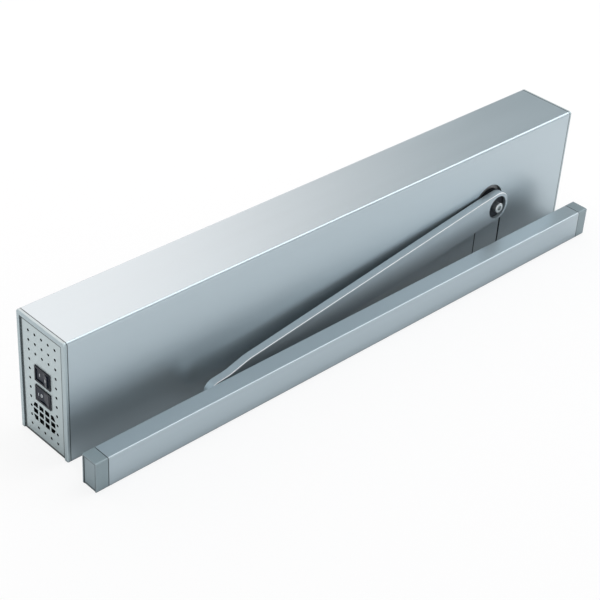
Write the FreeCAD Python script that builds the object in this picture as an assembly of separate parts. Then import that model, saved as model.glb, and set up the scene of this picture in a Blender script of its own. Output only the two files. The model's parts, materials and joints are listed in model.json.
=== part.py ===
import FreeCAD, Part
import math
import os
from FreeCAD import Vector

# Swing door operator with a lever arm and a slide channel, lying on its wall side.
# Millimetres. +Z leaves the wall, X runs along the casing with the switches at -X,
# and the spindle leaves the casing towards -Y. The origin is the middle of the wall face.

# Casing
BODY_LENGTH = 685.0
BODY_WIDTH = 70.0
BODY_HEIGHT = 130.0
WALL_GAP = 0.4              # lower edge of the cover above the wall
COVER_WALL = 2.2
COVER_EDGE_RADIUS = 3.0
COVER_INNER_RADIUS = 0.8
JOINT_GAP = 0.3             # visible joint between cover and end frame

# End frames and plates
FRAME_FACE = 3.0            # visible width of an end frame seen from the side
FRAME_RIM = 4.5             # visible width of an end frame seen from the end
FRAME_EDGE_RADIUS = 1.2
FRAME_LEDGE = 1.8           # width and depth of the ledge that the end plate rests on
SPIGOT_LENGTH = 8.0
SPIGOT_WALL = 2.0
SPIGOT_CLEARANCE = 0.15
PLATE_RECESS = 1.2
PLATE_THICKNESS = 1.5
PLATE_CLEARANCE = 0.1

# Holes in the switch end plate
HOLE_RADIUS = 1.45
HOLE_COLUMNS = 5
HOLE_ROWS = 11
HOLE_SIDE_MARGIN = 11.1     # outer columns inside the rim
HOLE_TOP_MARGIN = 10.5      # top row below the rim
HOLE_FIRST_ROW_Z = 11.5
FULL_ROWS_AT_TOP = 3
GRILLE_COLUMNS = 4
GRILLE_ROWS = 3
GRILLE_STEP_Z = 7.2
GRILLE_CELL_Y = 6.4
GRILLE_CELL_Z = 5.2
GRILLE_CENTRE_Z = 29.2
GRILLE_MARGIN = 2.4         # grille circle inside the outer columns
GRILLE_CELL_MARGIN = 3.3    # outer cells inside the outer columns

# Rocker switches
MAINS_SWITCH_Z = 74.0
PROGRAMME_SWITCH_Z = 52.4
SWITCH_FLANGE_Y = 22.4
SWITCH_FLANGE_Z = 16.6
SWITCH_FLANGE_THICKNESS = 1.0
SWITCH_BODY_Y = 21.0
SWITCH_BODY_Z = 15.2
SWITCH_BODY_DEPTH = 24.0
SWITCH_CUTOUT_CLEARANCE = 0.1
ROCKER_LENGTH = 18.0
ROCKER_WIDTH = 12.2
ROCKER_END_HEIGHT = 2.8
ROCKER_VALLEY_HEIGHT = 1.4
ROCKER_DEPTH = 3.6
ROCKER_END_CLEARANCE = 0.8
ROCKER_SIDE_CLEARANCE = 0.3
ROCKER_PIVOT_DEPTH = 1.6    # pivot behind the visible front of the flange's plate
ROCKER_PIN_RADIUS = 1.2
ROCKER_PIN_LENGTH = 1.0
ROCKER_PIN_CLEARANCE = 0.05
ROCKER_CAVITY_DEPTH = 6.5
MAINS_REST_TILT = -8.0      # degrees about +Z, with the on side at +Y pressed in

# Mounting plate
MOUNT_END_GAP = 1.0         # to the spigots of the end frames
MOUNT_SIDE_GAP = 1.3        # to the cover
MOUNT_THICKNESS = 3.0
MOUNT_CORNER_RADIUS = 4.0
MOUNT_HOLE_RADIUS = 3.3
MOUNT_HOLE_INSET = 20.5     # first holes from the end of the plate
MOUNT_HOLE_Y = 20.0
TAB_HEIGHT = 12.0
TAB_THICKNESS = 1.5
TAB_LENGTH = 36.0
TAB_COUNT = 4
TAB_INSET = 60.0            # first tabs from the end of the plate
TAB_CLEARANCE = 0.2

# Spindle, cover opening and its filler panel
SPINDLE_INSET = 123.0       # spindle from the end of the casing
SPINDLE_DROP = 4.2          # spindle below the middle of the drive housing
OPENING_RADIUS = 22.5
OPENING_SHIFT = 5.0         # opening towards the switches from the spindle
OPENING_RAISE = 1.5         # opening above the spindle
SLOT_WIDTH = 42.0           # slot below the opening, closed by the panel
SLOT_DROP = 8.0             # top of the slot below the spindle
FILLER_JOINT = 1.3
FILLER_RECESS = 0.4         # panel behind the face of the cover
FILLER_BACK_MARGIN = 4.0
FILLER_BACK_THICKNESS = 1.5
FILLER_BACK_GAP = 0.1
FILLER_LOW_Z = 6.0

# Drive housing
CASE_SIDE_GAP = 2.3         # to the cover
CASE_TOP_GAP = 4.8          # to the cover
CASE_GEAR_GAP = 1.6         # output gear to the housing's wall
CASE_MOTOR_MARGIN = 3.5     # housing beyond the motor
CAM_CASE_REACH = 48.5       # cam housing beyond the spindle
CASE_WALL = 4.0
CASE_RADIUS = 8.0
CASE_COVER_THICKNESS = 7.0
WEB_THICKNESS = 4.0
SPINDLE_RADIUS = 10.0
BEARING_RADIUS = 16.0
BEARING_WIDTH = 7.0
FIT = 0.05                  # radial clearance of running fits
WEB_HOLE_RADIUS = 14.0
CASE_SCREW_RADIUS = 2.5
CASE_SCREW_HEAD_RADIUS = 4.25
CASE_SCREW_HEAD_HEIGHT = 2.0
CASE_SCREW_INSET = 6.0
FOOT_LENGTH = 14.0
FOOT_WIDTH = 14.0
FOOT_HEIGHT = 8.0
FOOT_SCREW_RADIUS = 3.0
FOOT_SCREW_HEAD_RADIUS = 5.0
FOOT_SCREW_HEAD_HEIGHT = 6.0

# Gears
PRESSURE_ANGLE = math.radians(20.0)
PINION_TEETH = 12
WHEEL_TEETH = 60
PROFILE_SHIFT = 0.4         # added to a pinion and taken from its wheel
FIRST_MODULE = 1.0
SECOND_MODULE = 1.5
FLANK_BACKLASH = 0.05       # taken from each tooth flank, in parts of a module
GEAR_SIDE_GAP = 1.0         # gears to the housing and to its web
GEAR_STAGE_GAP = 1.5        # between the two stages
OUTPUT_GEAR_WIDTH = 8.0
MIDDLE_GEAR_WIDTH = 4.5
PINION_OVERHANG = 0.4
LAY_SHAFT_RADIUS = 4.0
BUSH_WALL = 2.5
BUSH_LENGTH = 5.0
LIGHTENING_HOLES = 6
LIGHTENING_RADIUS = 7.5
LIGHTENING_CIRCLE = 28.0

# Motor
MOTOR_RADIUS = 24.0
MOTOR_WALL = 2.0
MOTOR_COVER_GAP = 5.3       # motor cap to the cover
MOTOR_SHAFT_RADIUS = 3.0
MOTOR_BOSS_RADIUS = 9.0
MOTOR_RIB_COUNT = 12
MOTOR_RIB_HEIGHT = 1.2
MOTOR_RIB_WIDTH = 2.4
ROTOR_RADIUS = 20.0
ROTOR_GAP = 2.0             # rotor to the motor's ends
MOTOR_CAP_THICKNESS = 5.0
MOTOR_CAP_RADIUS = 20.0

# Cam and spring carriage
CAM_THICKNESS = 8.0
CAM_RISE = 11.5             # carriage travel in mm for each radian of the spindle
CAM_START_RADIUS = 27.0     # spindle to roller centre at rest
CAM_LEAD = math.radians(10.0)
CAM_DISC_RADIUS = 15.5
CAM_HUB_RADIUS = 13.0
CAM_POINTS = 13
ARM_SWING = math.radians(125.0)
ROLLER_RADIUS = 9.0
ROLLER_WIDTH = 7.0
ROLLER_PIN_RADIUS = 3.0
RUNNING_GAP = 0.3
CARRIAGE_HEIGHT = 20.0
CARRIAGE_SLOT = 9.0
CARRIAGE_REACH = 7.0
CARRIAGE_SIDE_GAP = 1.5     # carriage to the housing's web
CARRIAGE_COVER_GAP = 5.5    # carriage to the lid over the cam
GUIDE_CLEARANCE = 0.2
GUIDE_LENGTH = 12.0
SEAT_THICKNESS = 4.0
SEAT_GAP = 4.0              # spring seat to the guide at rest
SEAT_CLEARANCE = 1.5        # spring seat in the tube
PUSH_ROD_RADIUS = 7.0
PUSH_ROD_LENGTH = 46.0

# Spring, its tube and its adjuster
TUBE_SIDE_GAP = 2.05        # to the cover
TUBE_WALL = 2.25
TUBE_LENGTH = 144.0
TUBE_FIT = 0.1
TUBE_WINDOW_LENGTH = 60.0
TUBE_WINDOW_WIDTH = 14.0
SADDLE_LENGTH = 16.0
SADDLE_WIDTH = 36.0
SADDLE_LEFT_INSET = 20.0    # from the free end of the tube
SADDLE_RIGHT_INSET = 38.0   # from the drive housing
END_DISC_THICKNESS = 6.0
ABUTMENT_PLACE = 14.0       # from the free end of the tube to the spring
ABUTMENT_LENGTH = 8.0
ADJUSTER_RADIUS = 5.0
ADJUSTER_REACH = 26.0       # screw beyond the abutment
ADJUSTER_HEAD_FLATS = 16.0
ADJUSTER_HEAD_LENGTH = 8.0
SPRING_WIRE = 5.0           # side of the square wire
SPRING_CLEARANCE = 1.8      # spring in its tube
SPRING_TURNS = 7

# Control unit and power supply
UNIT_SIDE_GAP = 3.5         # from the edge of the mounting plate
TRAY_INSET = 42.5           # from the end of the casing
TRAY_LENGTH = 128.0
TRAY_HEIGHT = 38.0
TRAY_WALL = 2.5
BOARD_THICKNESS = 1.6
BOARD_MARGIN = 3.0
POST_RADIUS = 3.0
POST_INSET = 7.0
TERMINAL_COUNT = 3
TERMINAL_STEP = 36.0
TERMINAL_SIZE = (30.0, 9.0, 12.0)
TERMINAL_POLES = 6
CAPACITOR_RADIUS = 8.0
CAPACITOR_HEIGHT = 28.0
CAPACITOR_CHAMFER = 1.0
CAPACITOR_COUNT = 3
CAPACITOR_STEP = 20.0
RELAY_SIZE = (28.0, 13.0, 16.0)
SUPPLY_LEFT_GAP = 16.0      # to the control unit
SUPPLY_RIGHT_GAP = 14.0     # to the head of the adjusting screw
SUPPLY_HEIGHT = 72.0
SUPPLY_WALL = 1.5
SUPPLY_SLOT_STEP = 14.0
SUPPLY_SLOT_WIDTH = 5.0
SUPPLY_SLOT_HEIGHT = 40.0

# Arm
ARM_THICKNESS = 8.4
ARM_HALF_WIDTH = 17.0       # at the spindle
ARM_END_HALF_WIDTH = 12.8   # at the slider
ARM_BACK_GAP = 1.5          # cover face to the back of the arm at the spindle
ARM_LEAN = 9.7              # how far the long part leans towards the channel
ARM_CRANK = 4.0             # how far the short part near the slider leans further
ARM_CRANK_LENGTH = 27.0
ARM_FLAT_AT_SPINDLE = 24.0
ARM_FLAT_AT_SLIDER = 15.0
ARM_BEND_RADIUS = 60.0
ARM_EDGE_CHAMFER = 0.6
SLIDER_DISTANCE = 405.5     # slider from the spindle along the channel
ARM_EYE_RADIUS = 13.1
ARM_EYE_FLOOR = 2.0
HUB_RADIUS = 16.5
HUB_SQUARE = 14.0
HUB_SQUARE_CLEARANCE = 0.05
HUB_BORE_RADIUS = 8.0
HUB_BORE_DEPTH = 4.0
HUB_CASE_GAP = 0.7
WASHER_RADIUS = 12.6
WASHER_THICKNESS = 3.0
ARM_SCREW_RADIUS = 3.0
ARM_SCREW_HEAD_RADIUS = 5.6
ARM_SCREW_HEAD_HEIGHT = 6.0
ARM_SCREW_HEAD_CHAMFER = 0.5
ARM_SCREW_SOCKET_FLATS = 5.0
ARM_SCREW_SOCKET_DEPTH = 3.0
ARM_SCREW_LENGTH = 22.0

# Channel and slider
CHANNEL_OVERHANG = 5.0      # channel beyond the left end of the casing
CHANNEL_LENGTH = 680.0
CHANNEL_ARM_GAP = 4.9       # arm face to the back of the channel at the slider
CHANNEL_DEPTH = 19.5
CHANNEL_HEIGHT = 32.5
CHANNEL_WALL = 2.2
CHANNEL_EDGE_RADIUS = 1.4
CHANNEL_SLOT = 11.0
CHANNEL_CAP_LENGTH = 13.5
CHANNEL_CAP_JOINT = 0.3
CHANNEL_CAP_WALL = 2.0
CAP_PANEL_INSET = 1.8
CAP_PANEL_DEPTH = 0.5
BLOCK_CLEARANCE = 0.1
BLOCK_TONGUE = 15.0
BLOCK_TONGUE_CLEARANCE = 0.2
BLOCK_TOP_GAP = 2.0
CHANNEL_HOLE_RADIUS = 2.75
CHANNEL_HOLE_INSET = 7.5    # hole from the end of the channel
SLIDER_LENGTH = 40.0
SLIDER_CLEARANCE = 0.35
SLIDER_EDGE_RADIUS = 3.0
SLIDER_PIN_RADIUS = 4.0
SLIDER_PIN_DEPTH = 9.0      # pin inside the slider
COLLAR_RADIUS = 6.5
COLLAR_CLEARANCE = 0.3
PIN_END_LENGTH = 2.6
CLIP_RADIUS = 6.2
CLIP_THICKNESS = 1.0

# Places that follow from the sizes above
HALF_LENGTH = BODY_LENGTH / 2
HALF_WIDTH = BODY_WIDTH / 2
INNER_HALF_WIDTH = HALF_WIDTH - COVER_WALL
INNER_TOP_Z = BODY_HEIGHT - COVER_WALL
PLATE_OUTER_X = HALF_LENGTH - PLATE_RECESS
PLATE_INNER_X = PLATE_OUTER_X - PLATE_THICKNESS
FRAME_BACK_X = HALF_LENGTH - FRAME_FACE
COVER_END_X = FRAME_BACK_X - JOINT_GAP
MOUNT_HALF_LENGTH = FRAME_BACK_X - SPIGOT_LENGTH - MOUNT_END_GAP
MOUNT_HALF_WIDTH = INNER_HALF_WIDTH - MOUNT_SIDE_GAP
UNIT_HALF_WIDTH = MOUNT_HALF_WIDTH - UNIT_SIDE_GAP

CASE_TOP_Z = INNER_TOP_Z - CASE_TOP_GAP
CASE_HALF_Y = INNER_HALF_WIDTH - CASE_SIDE_GAP
LOWER_CASE_LOW_Y = -CASE_HALF_Y + CASE_COVER_THICKNESS
UPPER_CASE_HIGH_Y = CASE_HALF_Y - CASE_COVER_THICKNESS
OUTPUT_GEAR_LOW_Y = LOWER_CASE_LOW_Y + GEAR_SIDE_GAP
MIDDLE_GEAR_LOW_Y = OUTPUT_GEAR_LOW_Y + OUTPUT_GEAR_WIDTH + GEAR_STAGE_GAP
WEB_LOW_Y = MIDDLE_GEAR_LOW_Y + MIDDLE_GEAR_WIDTH + GEAR_SIDE_GAP
WEB_HIGH_Y = WEB_LOW_Y + WEB_THICKNESS
CARRIAGE_WIDTH = UPPER_CASE_HIGH_Y - WEB_HIGH_Y - CARRIAGE_SIDE_GAP - CARRIAGE_COVER_GAP
SPRING_Y = WEB_HIGH_Y + CARRIAGE_SIDE_GAP + CARRIAGE_WIDTH / 2
MOTOR_LENGTH = INNER_HALF_WIDTH - MOTOR_COVER_GAP - MOTOR_CAP_THICKNESS - WEB_HIGH_Y
ROTOR_LENGTH = MOTOR_LENGTH - 2 * (MOTOR_WALL + ROTOR_GAP)

SPINDLE_X = HALF_LENGTH - SPINDLE_INSET
SPINDLE_Z = (MOUNT_THICKNESS + CASE_TOP_Z) / 2 - SPINDLE_DROP
SLOT_TOP_Z = SPINDLE_Z - SLOT_DROP
OPENING_X = SPINDLE_X - OPENING_SHIFT
OPENING_Z = SPINDLE_Z + OPENING_RAISE
LAY_SHAFT_X = SPINDLE_X + SECOND_MODULE * (PINION_TEETH + WHEEL_TEETH) / 2
MOTOR_X = LAY_SHAFT_X + FIRST_MODULE * (PINION_TEETH + WHEEL_TEETH) / 2
OUTPUT_GEAR_TIP = SECOND_MODULE * (WHEEL_TEETH / 2 + 1 - PROFILE_SHIFT)
CASE_LEFT_X = SPINDLE_X - OUTPUT_GEAR_TIP - CASE_GEAR_GAP - CASE_WALL
CAM_CASE_RIGHT_X = SPINDLE_X + CAM_CASE_REACH
CASE_RIGHT_X = MOTOR_X + MOTOR_RADIUS + CASE_MOTOR_MARGIN
ROLLER_X = SPINDLE_X - CAM_START_RADIUS

GUIDE_LEFT_X = CASE_LEFT_X - GUIDE_LENGTH
CARRIAGE_BACK_X = GUIDE_LEFT_X - SEAT_GAP
TUBE_OUTER_RADIUS = INNER_HALF_WIDTH - SPRING_Y - TUBE_SIDE_GAP
TUBE_INNER_RADIUS = TUBE_OUTER_RADIUS - TUBE_WALL
TUBE_LEFT_X = CASE_LEFT_X - TUBE_LENGTH
ABUTMENT_X = TUBE_LEFT_X + ABUTMENT_PLACE
SPRING_RADIUS = TUBE_INNER_RADIUS - SPRING_CLEARANCE - SPRING_WIRE / 2
ADJUSTER_HEAD_X = TUBE_LEFT_X - END_DISC_THICKNESS - ADJUSTER_HEAD_LENGTH
SADDLE_PLACES = (TUBE_LEFT_X + SADDLE_LEFT_INSET, CASE_LEFT_X - SADDLE_RIGHT_INSET)
TRAY_LEFT_X = -HALF_LENGTH + TRAY_INSET
SUPPLY_LEFT_X = TRAY_LEFT_X + TRAY_LENGTH + SUPPLY_LEFT_GAP
SUPPLY_RIGHT_X = ADJUSTER_HEAD_X - SUPPLY_RIGHT_GAP

SLIDER_X = SPINDLE_X - SLIDER_DISTANCE
SLIDER_Z = CHANNEL_HEIGHT / 2
ARM_BACK_Y = -HALF_WIDTH - ARM_BACK_GAP
ARM_FRONT_Y = ARM_BACK_Y - ARM_THICKNESS
ARM_CRANK_BACK_Y = ARM_BACK_Y - ARM_LEAN
ARM_FAR_BACK_Y = ARM_CRANK_BACK_Y - ARM_CRANK
ARM_FAR_FRONT_Y = ARM_FAR_BACK_Y - ARM_THICKNESS
ARM_CENTRES = math.hypot(SPINDLE_X - SLIDER_X, SPINDLE_Z - SLIDER_Z)
ARM_REST_ANGLE = math.atan2(SPINDLE_Z - SLIDER_Z, SPINDLE_X - SLIDER_X)
CHANNEL_BACK_Y = ARM_FAR_FRONT_Y - CHANNEL_ARM_GAP
CHANNEL_FRONT_Y = CHANNEL_BACK_Y - CHANNEL_DEPTH
CHANNEL_LEFT_X = -HALF_LENGTH - CHANNEL_OVERHANG
CHANNEL_RIGHT_X = CHANNEL_LEFT_X + CHANNEL_LENGTH


def block(x_range, y_range, z_range):
    """A box between two corners, each axis given as (low, high)."""
    corner = Vector(x_range[0], y_range[0], z_range[0])
    size = [high - low for low, high in (x_range, y_range, z_range)]
    return Part.makeBox(size[0], size[1], size[2], corner)


def rod_x(radius, x_range, y, z):
    """A cylinder along X."""
    start = Vector(x_range[0], y, z)
    return Part.makeCylinder(radius, x_range[1] - x_range[0], start, Vector(1, 0, 0))


def rod_y(radius, x, y_range, z):
    """A cylinder along Y."""
    start = Vector(x, y_range[0], z)
    return Part.makeCylinder(radius, y_range[1] - y_range[0], start, Vector(0, 1, 0))


def rod_z(radius, x, y, z_range):
    """A cylinder along Z."""
    start = Vector(x, y, z_range[0])
    return Part.makeCylinder(radius, z_range[1] - z_range[0], start, Vector(0, 0, 1))


def hex_y(flats, x, y_range, z):
    """A hexagonal prism along Y, given by the distance across its flats."""
    reach = flats / math.sqrt(3)
    turns = [math.radians(60 * step) for step in range(7)]
    corners = [Vector(x + reach * math.cos(a), y_range[0], z + reach * math.sin(a)) for a in turns]
    face = Part.Face(Part.makePolygon(corners))
    return face.extrude(Vector(0, y_range[1] - y_range[0], 0))


def hex_x(flats, x_range, y, z):
    """A hexagonal prism along X, given by the distance across its flats."""
    reach = flats / math.sqrt(3)
    turns = [math.radians(60 * step) for step in range(7)]
    corners = [Vector(x_range[0], y + reach * math.cos(a), z + reach * math.sin(a)) for a in turns]
    face = Part.Face(Part.makePolygon(corners))
    return face.extrude(Vector(x_range[1] - x_range[0], 0, 0))


def fuse(shapes):
    """One shape out of several that touch or overlap."""
    return shapes[0].multiFuse(shapes[1:]).removeSplitter()


def group(shapes):
    """Separate solids kept together in one node."""
    return Part.makeCompound(shapes)


def fillet(shape, radius, test):
    """Round every edge whose middle point passes a test."""
    edges = [edge for edge in shape.Edges if test(edge)]
    return shape.makeFillet(radius, edges)


def middle(edge):
    """The point half way along an edge."""
    return edge.valueAt((edge.FirstParameter + edge.LastParameter) / 2)


def runs_along(edge, axis):
    """Whether a straight edge runs along a coordinate axis, 0, 1 or 2."""
    step = edge.Vertexes[-1].Point - edge.Vertexes[0].Point
    if step.Length < 1e-6:
        return False
    return abs(abs(step[axis]) - step.Length) < 1e-6


def arch(half_width, low, top, radius, x_range):
    """A bar along X whose cross-section is a rectangle with its two top corners rounded."""
    bar = block(x_range, (-half_width, half_width), (low, top))
    return fillet(bar, radius, lambda edge: runs_along(edge, 0) and middle(edge).z > top - 1e-6)


def mirrored(shape):
    """The same shape at the other end of the casing."""
    return shape.mirror(Vector(0, 0, 0), Vector(1, 0, 0))


def save(node, shape):
    """Write one node."""
    if not shape.isValid():
        raise ValueError("not a valid shape: " + node)
    shape.exportStep("parts/" + node + ".step")


# Casing pieces

def cover():
    """The extruded hood, open to the wall, with the opening that the spindle leaves by."""
    span = (-COVER_END_X, COVER_END_X)
    past = (span[0] - 1, span[1] + 1)
    hood = arch(HALF_WIDTH, WALL_GAP, BODY_HEIGHT, COVER_EDGE_RADIUS, span)
    inside = arch(INNER_HALF_WIDTH, WALL_GAP - 1, INNER_TOP_Z, COVER_INNER_RADIUS, past)
    wall = (-HALF_WIDTH - 1, -INNER_HALF_WIDTH + 1)
    hole = rod_y(OPENING_RADIUS, OPENING_X, wall, OPENING_Z)
    half = SLOT_WIDTH / 2
    slot = block((SPINDLE_X - half, SPINDLE_X + half), wall, (WALL_GAP - 1, SLOT_TOP_Z))
    return hood.cut(inside).cut(hole).cut(slot)


def cover_slot_insert():
    """The panel that closes the slot below the spindle, held by a wider back."""
    half = SLOT_WIDTH / 2 - FILLER_JOINT
    front_y = (-HALF_WIDTH + FILLER_RECESS, -INNER_HALF_WIDTH)
    top = SLOT_TOP_Z - FILLER_JOINT
    back_high = -INNER_HALF_WIDTH + FILLER_BACK_GAP + FILLER_BACK_THICKNESS
    back_y = (-INNER_HALF_WIDTH + FILLER_BACK_GAP, back_high)
    wide = SLOT_WIDTH / 2 + FILLER_BACK_MARGIN
    panel = block((SPINDLE_X - half, SPINDLE_X + half), front_y, (WALL_GAP, top))
    neck = block((SPINDLE_X - half, SPINDLE_X + half), (front_y[1], back_y[0]), (FILLER_LOW_Z, top))
    back = block((SPINDLE_X - wide, SPINDLE_X + wide), back_y, (FILLER_LOW_Z, SPINDLE_Z))
    opening = rod_y(OPENING_RADIUS, OPENING_X, (-HALF_WIDTH - 1, back_y[1] + 1), OPENING_Z)
    return fuse([panel, neck, back]).cut(opening)


def end_frame_left():
    """The moulded rim at the switch end, open to the wall, with a spigot inside the cover."""
    rim = arch(HALF_WIDTH, WALL_GAP, BODY_HEIGHT, COVER_EDGE_RADIUS, (-HALF_LENGTH, -FRAME_BACK_X))
    rim = fillet(rim, FRAME_EDGE_RADIUS, lambda edge: is_outer_rim_edge(edge))
    spigot_half = INNER_HALF_WIDTH - SPIGOT_CLEARANCE
    spigot_top = INNER_TOP_Z - SPIGOT_CLEARANCE
    spigot_x = (-FRAME_BACK_X, -FRAME_BACK_X + SPIGOT_LENGTH)
    spigot = arch(spigot_half, WALL_GAP, spigot_top, COVER_INNER_RADIUS, spigot_x)
    frame = fuse([rim, spigot])
    ledge_x = -PLATE_INNER_X + FRAME_LEDGE
    half = HALF_WIDTH - FRAME_RIM
    top = BODY_HEIGHT - FRAME_RIM
    narrow = half - FRAME_LEDGE
    wide = spigot_half - SPIGOT_WALL
    low = WALL_GAP - 1
    window = block((-HALF_LENGTH - 1, -PLATE_INNER_X), (-half, half), (low, top))
    opening = block((-PLATE_INNER_X - 1, ledge_x + 1), (-narrow, narrow), (low, top - FRAME_LEDGE))
    inside = block((ledge_x, spigot_x[1] + 1), (-wide, wide), (low, spigot_top - SPIGOT_WALL))
    return frame.cut([window, opening, inside])


def is_outer_rim_edge(edge):
    """Edges of the rim's outer face, apart from those at the wall."""
    point = middle(edge)
    return abs(point.x + HALF_LENGTH) < 1e-6 and point.z > WALL_GAP + 1


def end_frame_right():
    """The same rim at the other end."""
    return mirrored(end_frame_left())


def plain_end_plate():
    """The sheet that closes the switch end, before its holes."""
    half = HALF_WIDTH - FRAME_RIM - PLATE_CLEARANCE
    top = BODY_HEIGHT - FRAME_RIM - PLATE_CLEARANCE
    return block((-PLATE_OUTER_X, -PLATE_INNER_X), (-half, half), (WALL_GAP, top))


def end_plate_left():
    """The perforated sheet with its two switch cut-outs and the round vent grille."""
    through = (-PLATE_OUTER_X - 1, -PLATE_INNER_X + 1)
    outer_column = HALF_WIDTH - FRAME_RIM - HOLE_SIDE_MARGIN
    column_step = 2 * outer_column / (HOLE_COLUMNS - 1)
    top_row = BODY_HEIGHT - FRAME_RIM - HOLE_TOP_MARGIN
    row_step = (top_row - HOLE_FIRST_ROW_Z) / (HOLE_ROWS - 1)
    tools = []
    for row in range(HOLE_ROWS):
        full = row == 0 or row >= HOLE_ROWS - FULL_ROWS_AT_TOP
        columns = range(HOLE_COLUMNS) if full else (0, HOLE_COLUMNS - 1)
        for column in columns:
            y = column * column_step - outer_column
            tools.append(rod_x(HOLE_RADIUS, through, y, HOLE_FIRST_ROW_Z + row * row_step))
    for z in (MAINS_SWITCH_Z, PROGRAMME_SWITCH_Z):
        half_y = SWITCH_BODY_Y / 2 + SWITCH_CUTOUT_CLEARANCE
        half_z = SWITCH_BODY_Z / 2 + SWITCH_CUTOUT_CLEARANCE
        tools.append(block(through, (-half_y, half_y), (z - half_z, z + half_z)))
    circle = rod_x(outer_column - GRILLE_MARGIN, through, 0, GRILLE_CENTRE_Z)
    cell_step = (2 * (outer_column - GRILLE_CELL_MARGIN) - GRILLE_CELL_Y) / (GRILLE_COLUMNS - 1)
    for row in range(GRILLE_ROWS):
        z = GRILLE_CENTRE_Z + (row - (GRILLE_ROWS - 1) / 2) * GRILLE_STEP_Z
        for column in range(GRILLE_COLUMNS):
            y = (column - (GRILLE_COLUMNS - 1) / 2) * cell_step
            half_y = GRILLE_CELL_Y / 2
            half_z = GRILLE_CELL_Z / 2
            cell = block(through, (y - half_y, y + half_y), (z - half_z, z + half_z))
            tools.append(cell.common(circle))
    return plain_end_plate().cut(tools)


def end_plate_right():
    """The plain sheet at the other end."""
    return mirrored(plain_end_plate())


def mounting_plate():
    """The steel plate screwed to the wall, with tabs that the cover snaps on to."""
    x_range = (-MOUNT_HALF_LENGTH, MOUNT_HALF_LENGTH)
    plate = block(x_range, (-MOUNT_HALF_WIDTH, MOUNT_HALF_WIDTH), (0, MOUNT_THICKNESS))
    plate = fillet(plate, MOUNT_CORNER_RADIUS, lambda edge: runs_along(edge, 2))
    outer = INNER_HALF_WIDTH - TAB_CLEARANCE
    first = -MOUNT_HALF_LENGTH + TAB_INSET
    tabs = []
    for count in range(TAB_COUNT):
        x = first - 2 * first * count / (TAB_COUNT - 1)
        x_range = (x - TAB_LENGTH / 2, x + TAB_LENGTH / 2)
        for side in (-1, 1):
            upright = sorted((side * (outer - TAB_THICKNESS), side * outer))
            root = sorted((side * (MOUNT_HALF_WIDTH - TAB_THICKNESS), side * outer))
            tabs.append(block(x_range, upright, (0, TAB_HEIGHT)))
            tabs.append(block(x_range, root, (0, MOUNT_THICKNESS)))
    plate = fuse([plate] + tabs)
    holes = []
    for x in mounting_hole_columns():
        for y in (-MOUNT_HOLE_Y, MOUNT_HOLE_Y):
            holes.append(rod_z(MOUNT_HOLE_RADIUS, x, y, (-1, MOUNT_THICKNESS + 1)))
    return plate.cut(holes)


def mounting_hole_columns():
    """Screw places clear of the units: by the switch end, and in the two gaps between units."""
    between_units = SUPPLY_LEFT_X - SUPPLY_LEFT_GAP / 2
    saddle_edge = SADDLE_PLACES[1] + SADDLE_LENGTH / 2
    foot_edge = CASE_LEFT_X - FOOT_LENGTH
    return (-MOUNT_HALF_LENGTH + MOUNT_HOLE_INSET, between_units, (saddle_edge + foot_edge) / 2)


# Switches

def rocker_pivot_x():
    """The line that both rockers turn about."""
    return -PLATE_OUTER_X + ROCKER_PIVOT_DEPTH


def switch_body(z):
    """A snap-in switch housing behind the end plate, with a flange in front of it."""
    flange_x = (-PLATE_OUTER_X - SWITCH_FLANGE_THICKNESS, -PLATE_OUTER_X)
    half_y = SWITCH_FLANGE_Y / 2
    half_z = SWITCH_FLANGE_Z / 2
    flange = block(flange_x, (-half_y, half_y), (z - half_z, z + half_z))
    body_x = (-PLATE_OUTER_X, -PLATE_OUTER_X + SWITCH_BODY_DEPTH)
    body_y = SWITCH_BODY_Y / 2
    body_z = SWITCH_BODY_Z / 2
    body = block(body_x, (-body_y, body_y), (z - body_z, z + body_z))
    cavity_y = ROCKER_LENGTH / 2 + ROCKER_END_CLEARANCE
    cavity_z = ROCKER_WIDTH / 2 + ROCKER_SIDE_CLEARANCE
    cavity_x = (flange_x[0] - 1, rocker_pivot_x() + ROCKER_CAVITY_DEPTH)
    cavity = block(cavity_x, (-cavity_y, cavity_y), (z - cavity_z, z + cavity_z))
    reach = ROCKER_WIDTH / 2 + ROCKER_PIN_LENGTH + ROCKER_PIN_CLEARANCE
    seat = rod_z(ROCKER_PIN_RADIUS + ROCKER_PIN_CLEARANCE, rocker_pivot_x(), 0, (z - reach, z + reach))
    return fuse([flange, body]).cut(cavity).cut(seat)


def rocker(z, tilt):
    """A rocker with a shallow valley across its middle and a pin on each side."""
    pivot = rocker_pivot_x()
    half = ROCKER_LENGTH / 2
    foot = half / 2
    outline = [(-ROCKER_END_HEIGHT, -half), (-ROCKER_VALLEY_HEIGHT, 0), (-ROCKER_END_HEIGHT, half),
               (ROCKER_DEPTH / 2, half), (ROCKER_DEPTH, foot), (ROCKER_DEPTH, -foot),
               (ROCKER_DEPTH / 2, -half), (-ROCKER_END_HEIGHT, -half)]
    low = z - ROCKER_WIDTH / 2
    face = Part.Face(Part.makePolygon([Vector(pivot + x, y, low) for x, y in outline]))
    shape = face.extrude(Vector(0, 0, ROCKER_WIDTH))
    reach = ROCKER_WIDTH / 2 + ROCKER_PIN_LENGTH
    shape = fuse([shape, rod_z(ROCKER_PIN_RADIUS, pivot, 0, (z - reach, z + reach))])
    shape.rotate(Vector(pivot, 0, z), Vector(0, 0, 1), tilt)
    return shape


# Drive housing

def case_block(x_range, y_range):
    """A housing block with rounded corners seen along the spindle."""
    solid = block(x_range, y_range, (MOUNT_THICKNESS, CASE_TOP_Z))
    return fillet(solid, CASE_RADIUS, lambda edge: runs_along(edge, 1))


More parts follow.
